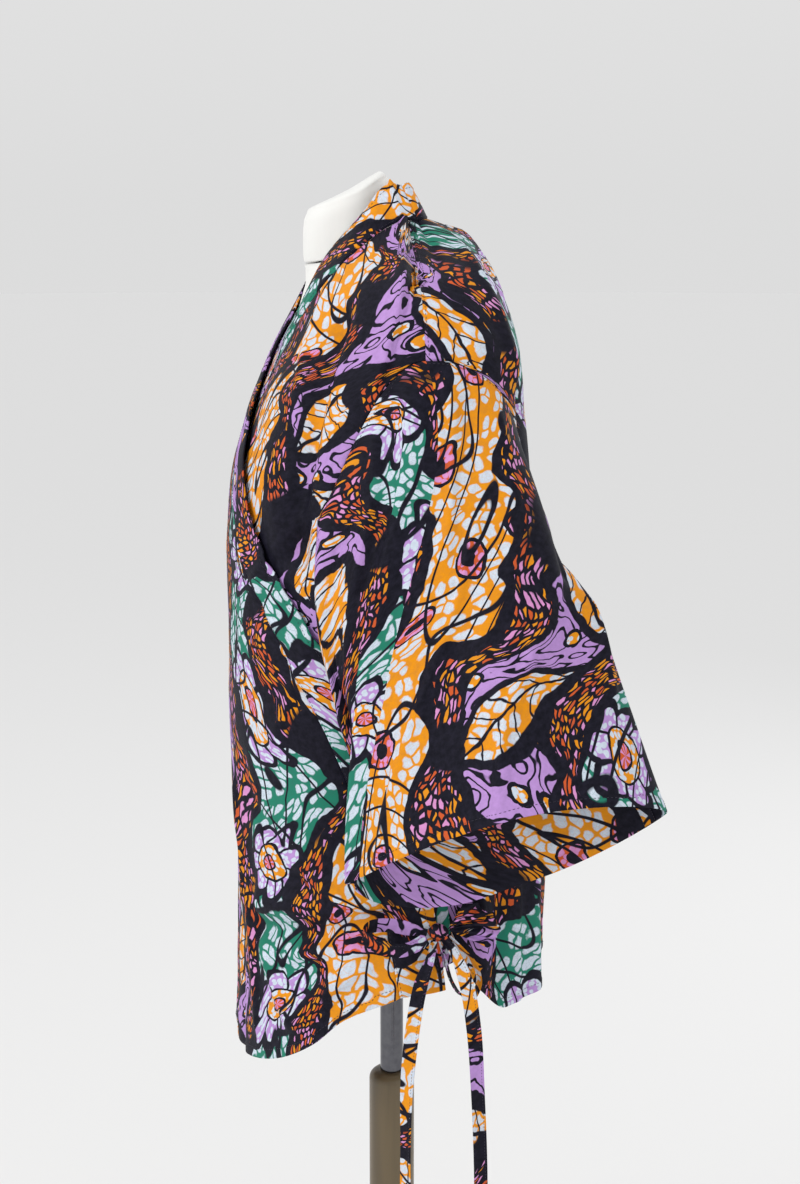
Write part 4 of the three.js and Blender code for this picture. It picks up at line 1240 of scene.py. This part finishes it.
def print_colour(place):
    """A wax print: thick vines between columns of leaves, rosettes and plain blotted ground."""
    x0, y0, _ = parts_of(place)
    wobble_x, wobble_y, _ = parts_of(noise(place, 7, 1.5, "Color"))
    shake_x, shake_y, _ = parts_of(noise(place, 42, 2.5, "Color"))
    x = x0 + (wobble_x - 0.5) * 0.075 + (shake_x - 0.5) * 0.009
    y = y0 + (wobble_y - 0.5) * 0.075 + (shake_y - 0.5) * 0.009
    x = x + (y * 31).sin() * 0.018 + (y * 67 + 1.3).sin() * 0.006
    warped = joined(x, y)

    column = (x / COLUMN_WIDTH).floor()
    across = x - (column + 0.5) * COLUMN_WIDTH
    kind = column.modulo(3)
    is_leaf, is_open = kind.less(0.5), kind.over(1.5)
    thick = noise(place, 13, 1.0)

    # Wax blots with crackle, puzzle lines and long sweeps, each used under several motifs.
    ragged = (noise(place, 95, 3.0) - 0.5) * 0.42
    fade = noise(place, 24, 2.0) - 0.5
    blots = (cells(warped, 78, 0.9) + ragged + fade * 0.5).less(0.43, 0.09)
    parted = (cells(warped, 78, 0.9, "DISTANCE_TO_EDGE") + ragged * 0.2).over(0.09, 0.05)
    crackle = cells(warped, 310, 1.0, "DISTANCE_TO_EDGE").less(0.035, 0.04) * 0.4
    blots = blots.both(parted).both(crackle.opposite())
    small = (cells(warped, 150, 0.85) + ragged * 0.7).less(0.40, 0.10)
    puzzle = (noise(warped, 36, 0.8) * 6).from_half().less(0.13, 0.04)
    sweep = (noise(joined(x0 * 2.1, y0 * 0.5), 6, 0.5) * 8).from_half()
    crossing = joined(x0 * 0.9 + y0 * 1.1, y0 * 0.5 - x0 * 0.6)
    crossing = (noise(crossing, 6, 0.5) * 8).from_half()
    sweep = sweep.less(0.055, 0.02).either(crossing.less(0.045, 0.02))

    orange = blend(blots, ORANGE, WAX)
    teal = blend(blots, TEAL, WAX)
    speckled = blend(small, ORANGE, WAX)
    lavender = blend(puzzle, LAVENDER, INK)

    # Tilted almond leaves on lavender, with buds between them.
    leaf_row = (y / LEAF_PITCH).floor()
    fy = y - (leaf_row + 0.5) * LEAF_PITCH
    tilt = (leaf_row.modulo(2) * 2 - 1) * 0.62 + (column * 1.7 + leaf_row).sin() * 0.2
    a = across * tilt.sin() + fy * tilt.cos()
    b = across * tilt.cos() - fy * tilt.sin()
    arch = ((a / LEAF_HALF) * (a / LEAF_HALF)).opposite()
    leaf = b.abs() - arch * 0.027
    in_leaf = leaf.less(0.0)
    line = thick * 0.009
    leaf_rim = (leaf.abs() - line).less(0.0008, 0.0008)
    side_ribs = ((a + b.abs() * 0.75) / 0.019).from_half().less(0.05, 0.03)
    ribs = b.abs().less(0.0016, 0.0006).either(side_ribs)
    leaf_ground = blend(in_leaf, lavender, blend(ribs, orange, INK))
    buds = cells(warped, 24, 0.6)
    bud = blend(buds.less(0.15), INK, speckled)
    leaf_ground = blend(buds.less(0.23).both(in_leaf.opposite()), leaf_ground, bud)
    leaf_ground = blend(leaf_rim, leaf_ground, INK)

    # Rosettes on blotted teal.
    rose_y = y + 0.06
    rose_row = (rose_y / ROSETTE_PITCH).floor()
    ry = rose_y - (rose_row + 0.5) * ROSETTE_PITCH
    radius = (across * across + ry * ry).op("SQRT")
    angle = ry.op("ARCTAN2", across)
    petals = (angle * 3.5 + rose_row * 2.1).sin().abs()
    petal_edge = petals * 0.011 + 0.033
    petal_gap = (petals * radius).less(0.0052, 0.002)
    petal_rim = (radius - petal_edge).abs().less(line * 0.7 + 0.0010, 0.0008)
    petal = blend(petal_gap, blend(small, LAVENDER, WAX), INK)
    heart = blend((angle * 7).sin().over(0.2), RUST, PINK)
    for edge, fill in ((0.021, INK), (0.0185, speckled), (0.0095, INK), (0.0072, heart)):
        petal = blend(radius.less(edge), petal, fill)
    rose_ground = blend(radius.less(petal_edge), teal, petal)
    rose_ground = blend(petal_rim, rose_ground, INK)

    # Open orange ground with a few small rust rings.
    rings = cells(warped, 13, 0.7)
    open_ground = blend(rings.less(0.20), orange, INK)
    open_ground = blend(rings.less(0.165), open_ground, blend(small, RUST, PINK))
    open_ground = blend(rings.less(0.075), open_ground, INK)

    colour = blend(is_leaf, rose_ground, leaf_ground)
    colour = blend(is_open, colour, open_ground)
    colour = blend(sweep.both(is_leaf.opposite()), colour, INK)

    # The vines: thick ink, with a strip of small slivers along the middle of most stretches.
    to_vine = across.abs() * -1 + COLUMN_WIDTH / 2
    vine_width = thick * 0.062 - 0.007
    sliver_place = joined(x * 2.2, y)
    sliver_hue, _, _ = parts_of(cells(sliver_place, 105, 0.9, "F1", "Color"))
    sliver = blend(sliver_hue.over(0.4), ORANGE, RUST)
    sliver = blend(sliver_hue.over(0.72), sliver, PINK)
    strip = to_vine.less(vine_width * 0.6 - 0.0015)
    strip = strip.both(noise(place, 9, 1.0).over(0.42, 0.03)).both(sliver_hue.over(0.1))
    slivers = cells(sliver_place, 105, 0.9, "DISTANCE_TO_EDGE").over(0.21, 0.06).both(strip)
    vine = blend(slivers, INK, sliver)
    colour = blend(to_vine.less(vine_width, 0.0008), colour, vine)
    mottle = noise(place, 170, 4.0, rough=0.65).over(0.56, 0.5) * 0.22
    return blend(mottle, colour, linear(66, 62, 84))


def print_material():
    """Printed cotton: the wax print on a fine plain weave, matt and slightly crumpled."""
    material, shader = new_material("print_cotton")
    place_node = material.node_tree.nodes.new("ShaderNodeUVMap")
    place_node.uv_map = "cut"
    place = field(place_node, 0)
    colour = print_colour(place)
    set_inputs(shader, {"Base Color": colour, "Roughness": 0.62, "Specular IOR Level": 0.12})
    u, v, _ = parts_of(place)
    weave = (u * (math.tau / WARP_PITCH)).sin() * (v * (math.tau / WEFT_PITCH)).sin()
    slub = noise(joined(u * 0.08, v), 900, 1.0)
    crumple = noise(place, 22, 5.0, rough=0.55)
    crumpled = add_bump(shader, crumple, 0.35, 0.0022)
    add_bump(shader, weave * 0.5 + slub, 0.18, 0.00012, crumpled)
    return material


def thread_material():
    material, shader = new_material("thread")
    twist = noise(own_place(material), 1800, 1.0)
    colour = blend(twist, linear(20, 19, 30), linear(52, 46, 66))
    set_inputs(shader, {"Base Color": colour, "Roughness": 0.55})
    return material


def jersey_material():
    """White knit stretched over the form."""
    material, shader = new_material("jersey")
    place = own_place(material)
    x, y, z = parts_of(place)
    around = y.op("ARCTAN2", x) * 0.11
    wale = (around * (math.tau / WALE_PITCH)).sin()
    course = (z * (math.tau / COURSE_PITCH) + wale * 0.8).sin()
    soft = noise(place, 60, 3.0)
    colour = blend(soft.over(0.5, 0.8) * 0.5, linear(238, 238, 235), linear(226, 226, 224))
    set_inputs(shader, {"Base Color": colour, "Roughness": 0.85})
    set_inputs(shader, {"Sheen Weight": 0.25, "Sheen Roughness": 0.5})
    softened = add_bump(shader, soft, 0.15, 0.001)
    add_bump(shader, wale * 0.4 + course * 0.6, 0.25, 0.00015, softened)
    return material


def chrome_material():
    material, shader = new_material("chrome")
    place = own_place(material)
    _, _, z = parts_of(place)
    smudge_and_painted_reflection = noise(place, 160, dimensions="3D")
    # Painted reflection: the base colour is painted a dark grey to stand in for the dark
    # surroundings the chrome reflects. The smudge noise varies this painted reflection and the
    # roughness.
    colour = blend(smudge_and_painted_reflection, linear(112, 112, 116), linear(84, 84, 90))
    rough = smudge_and_painted_reflection * 0.10 + 0.05
    set_inputs(shader, {"Base Color": colour, "Roughness": rough, "Metallic": 1.0})
    add_bump(shader, (z * 9000).sin(), 0.03, 0.0001)
    return material


def wood_material():
    """Turned wood under a satin brown-olive varnish, with its grain along the post."""
    material, shader = new_material("post_wood")
    x, y, z = parts_of(own_place(material))
    grain = noise(joined(x, y, z * 0.06), 130, 6, dimensions="3D")
    rings = ((x * 1.3 + z * 0.035) * 330 + grain * 5).sin() * 0.5 + 0.5
    colour = blend(rings * 0.45 + grain * 0.4, linear(104, 88, 60), linear(72, 60, 40))
    set_inputs(shader, {"Base Color": colour, "Roughness": grain * 0.2 + 0.33})
    set_inputs(shader, {"Coat Weight": 0.25, "Coat Roughness": 0.25})
    add_bump(shader, grain, 0.25, 0.0004)
    return material


def base_material():
    material, shader = new_material("base_paint")
    place = own_place(material)
    peel = noise(place, 700, dimensions="3D")
    wear = noise(place, 14, 4.0)
    colour = blend(wear.over(0.5, 0.5) * 0.6, linear(98, 84, 66), linear(84, 71, 54))
    set_inputs(shader, {"Base Color": colour, "Roughness": wear * 0.18 + 0.36})
    add_bump(shader, peel, 0.12, 0.0003)
    return material


def floor_material():
    material, shader = new_material("floor")
    set_inputs(shader, {"Base Color": (0.80, 0.80, 0.80, 1), "Roughness": 0.9})
    set_inputs(shader, {"Specular IOR Level": 0.1})
    return material


# ---------- Camera, light and floor ----------

PHOTO_WIDTH, PHOTO_HEIGHT = 800, 1184
VIEW_AZIMUTH, VIEW_PITCH = 85.0, 11.1
VIEW_DISTANCE, VIEW_HEIGHT = 1800, 1420
FOCAL_PIXELS = 2000
POLE_PIXEL_X = 391
SENSOR = 36.0
HORIZON_GLOW, ZENITH_GLOW = 0.72, 1.0  # the far floor is as bright as the horizon


def make_camera():
    azimuth, pitch = math.radians(VIEW_AZIMUTH), math.radians(VIEW_PITCH)
    place = Vector(
        (VIEW_DISTANCE * math.sin(azimuth), -VIEW_DISTANCE * math.cos(azimuth), VIEW_HEIGHT)
    )
    inward = Vector((-math.sin(azimuth), math.cos(azimuth), 0))
    right = Vector((math.cos(azimuth), math.sin(azimuth), 0))
    yaw = math.atan((PHOTO_WIDTH / 2 - POLE_PIXEL_X) / FOCAL_PIXELS * math.cos(pitch))
    level = inward * math.cos(yaw) + right * math.sin(yaw)
    side = right * math.cos(yaw) - inward * math.sin(yaw)
    forward = level * math.cos(pitch) - Vector((0, 0, math.sin(pitch)))
    up = side.cross(forward)
    data = bpy.data.cameras.new("camera")
    data.sensor_fit, data.sensor_width = "AUTO", SENSOR
    data.lens = FOCAL_PIXELS / PHOTO_HEIGHT * SENSOR
    data.clip_start, data.clip_end = 0.05, 200
    camera = bpy.data.objects.new("camera", data)
    axes = Matrix((side, up, -forward)).transposed().to_4x4()
    camera.matrix_world = Matrix.Translation(place * MM) @ axes
    bpy.context.scene.collection.objects.link(camera)
    bpy.context.scene.camera = camera


def area_light(name, place, aim, size, power, colour=(1, 1, 1)):
    data = bpy.data.lights.new(name, "AREA")
    data.shape, data.size, data.energy, data.color = "DISK", size, power, colour
    light = bpy.data.objects.new(name, data)
    light.location = place
    light.rotation_mode = "QUATERNION"
    light.rotation_quaternion = (Vector(aim) - Vector(place)).to_track_quat("-Z", "Y")
    bpy.context.scene.collection.objects.link(light)


def make_studio():
    world = bpy.data.worlds.new("studio")
    world.use_nodes = True
    nodes = world.node_tree.nodes
    _, _, up = parts_of(field(nodes.new("ShaderNodeTexCoord"), "Generated"))
    glow = up.op("MAXIMUM", 0.0) * (ZENITH_GLOW - HORIZON_GLOW) + HORIZON_GLOW
    set_inputs(nodes["Background"], {"Strength": glow, "Color": (1, 1, 1, 1)})
    bpy.context.scene.world = world
    middle = (0, 0, 1.05)
    area_light("key_light", (1.9, -3.0, 2.7), middle, 0.9, 50, (1.0, 0.99, 0.97))
    area_light("fill_light", (2.8, 1.9, 1.6), middle, 2.2, 4, (0.95, 0.97, 1.0))
    area_light("rear_light", (-2.4, 2.2, 2.4), middle, 1.4, 16)
    ring = np.linspace(0, math.tau, 96, endpoint=False)
    radius = 30000
    disc = [(radius * math.cos(a), radius * math.sin(a), 0.0) for a in ring]
    floor = new_object("floor", disc, [tuple(range(len(disc)))])
    floor.data.materials.append(floor_material())
    bpy.context.scene.view_settings.view_transform = "Standard"


# ---------- Assembly ----------


def place(piece, material, slot, *nodes):
    piece.data.materials.append(material)
    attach(piece, "root")
    if nodes:
        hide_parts(*nodes)
    return piece


make_camera()
make_studio()

torso, neck = make_torso(), make_neck()
base, post, pole = make_stand()
jersey = jersey_material()
place(torso, jersey, "form_jersey", "form_torso")
place(neck, jersey, "form_jersey", "form_neck")
place(base, base_material(), "base_paint", "form_base")
place(post, wood_material(), "post_wood", "form_post")
place(pole, chrome_material(), "pole_chrome", "form_pole")

tree = form_tree(torso, neck)
cotton = print_material()
back = panel("back", 118, True, back_edges, 480, tree)
left = panel("left_front", 84, True, front_left_edges, 300, tree)
right = panel("right_front", 128, False, front_right_edges, 460, tree)
collar = make_band(tree)
sleeve_left, seam_left = make_sleeve("left_sleeve", True, 0.4)
sleeve_right, seam_right = make_sleeve("right_sleeve", False, 1.7)
place(back, cotton, "print_cotton", "back_panel")
place(left, cotton, "print_cotton", "front_left")
place(right, cotton, "print_cotton", "front_right")
place(collar, cotton, "band_cotton", "collar_band")
place(sleeve_left, cotton, "print_cotton", "sleeve_left")
place(sleeve_right, cotton, "print_cotton", "sleeve_right")
place(seam_left, cotton, "print_cotton")
place(seam_right, cotton, "print_cotton")

straps = {node: make_strap(node) for node in STRAP_ROUTES}
for node, strap in straps.items():
    place(strap, cotton, "tie_cotton", node)
place(make_knot(), cotton, "tie_cotton", "tie_knot")
gather = place(make_gather(), cotton, "print_cotton", "gathered_corner")


def lines_of(names, lift):
    return [(*stitch_lines[name], lift) for name in names]


thread = thread_material()
hemmed_pieces = ("back", "left_front", "right_front", "left_sleeve", "right_sleeve")
hem_lines = lines_of(hemmed_pieces, (CLOTH + HEM_EXTRA) / 2)
band_lines = lines_of(("collar_seam", "collar_edge"), BAND_CLOTH / 2)
tie_lines = lines_of(STRAP_ROUTES, 0.6)
place(stitches("hem_stitches", hem_lines), thread, "tie_cotton")
band_thread = place(stitches("band_stitches", band_lines), thread, "tie_cotton")
place(stitches("seam_stitches", seam_lines), thread, "tie_cotton")
overlock = stitches("overlock_stitches", overlock_lines, length=1.6, gap=0.5, thick=0.7)
place(overlock, thread, "tie_cotton")
place(stitches("tie_stitches", tie_lines, length=2.0, gap=0.8), thread, "tie_cotton")
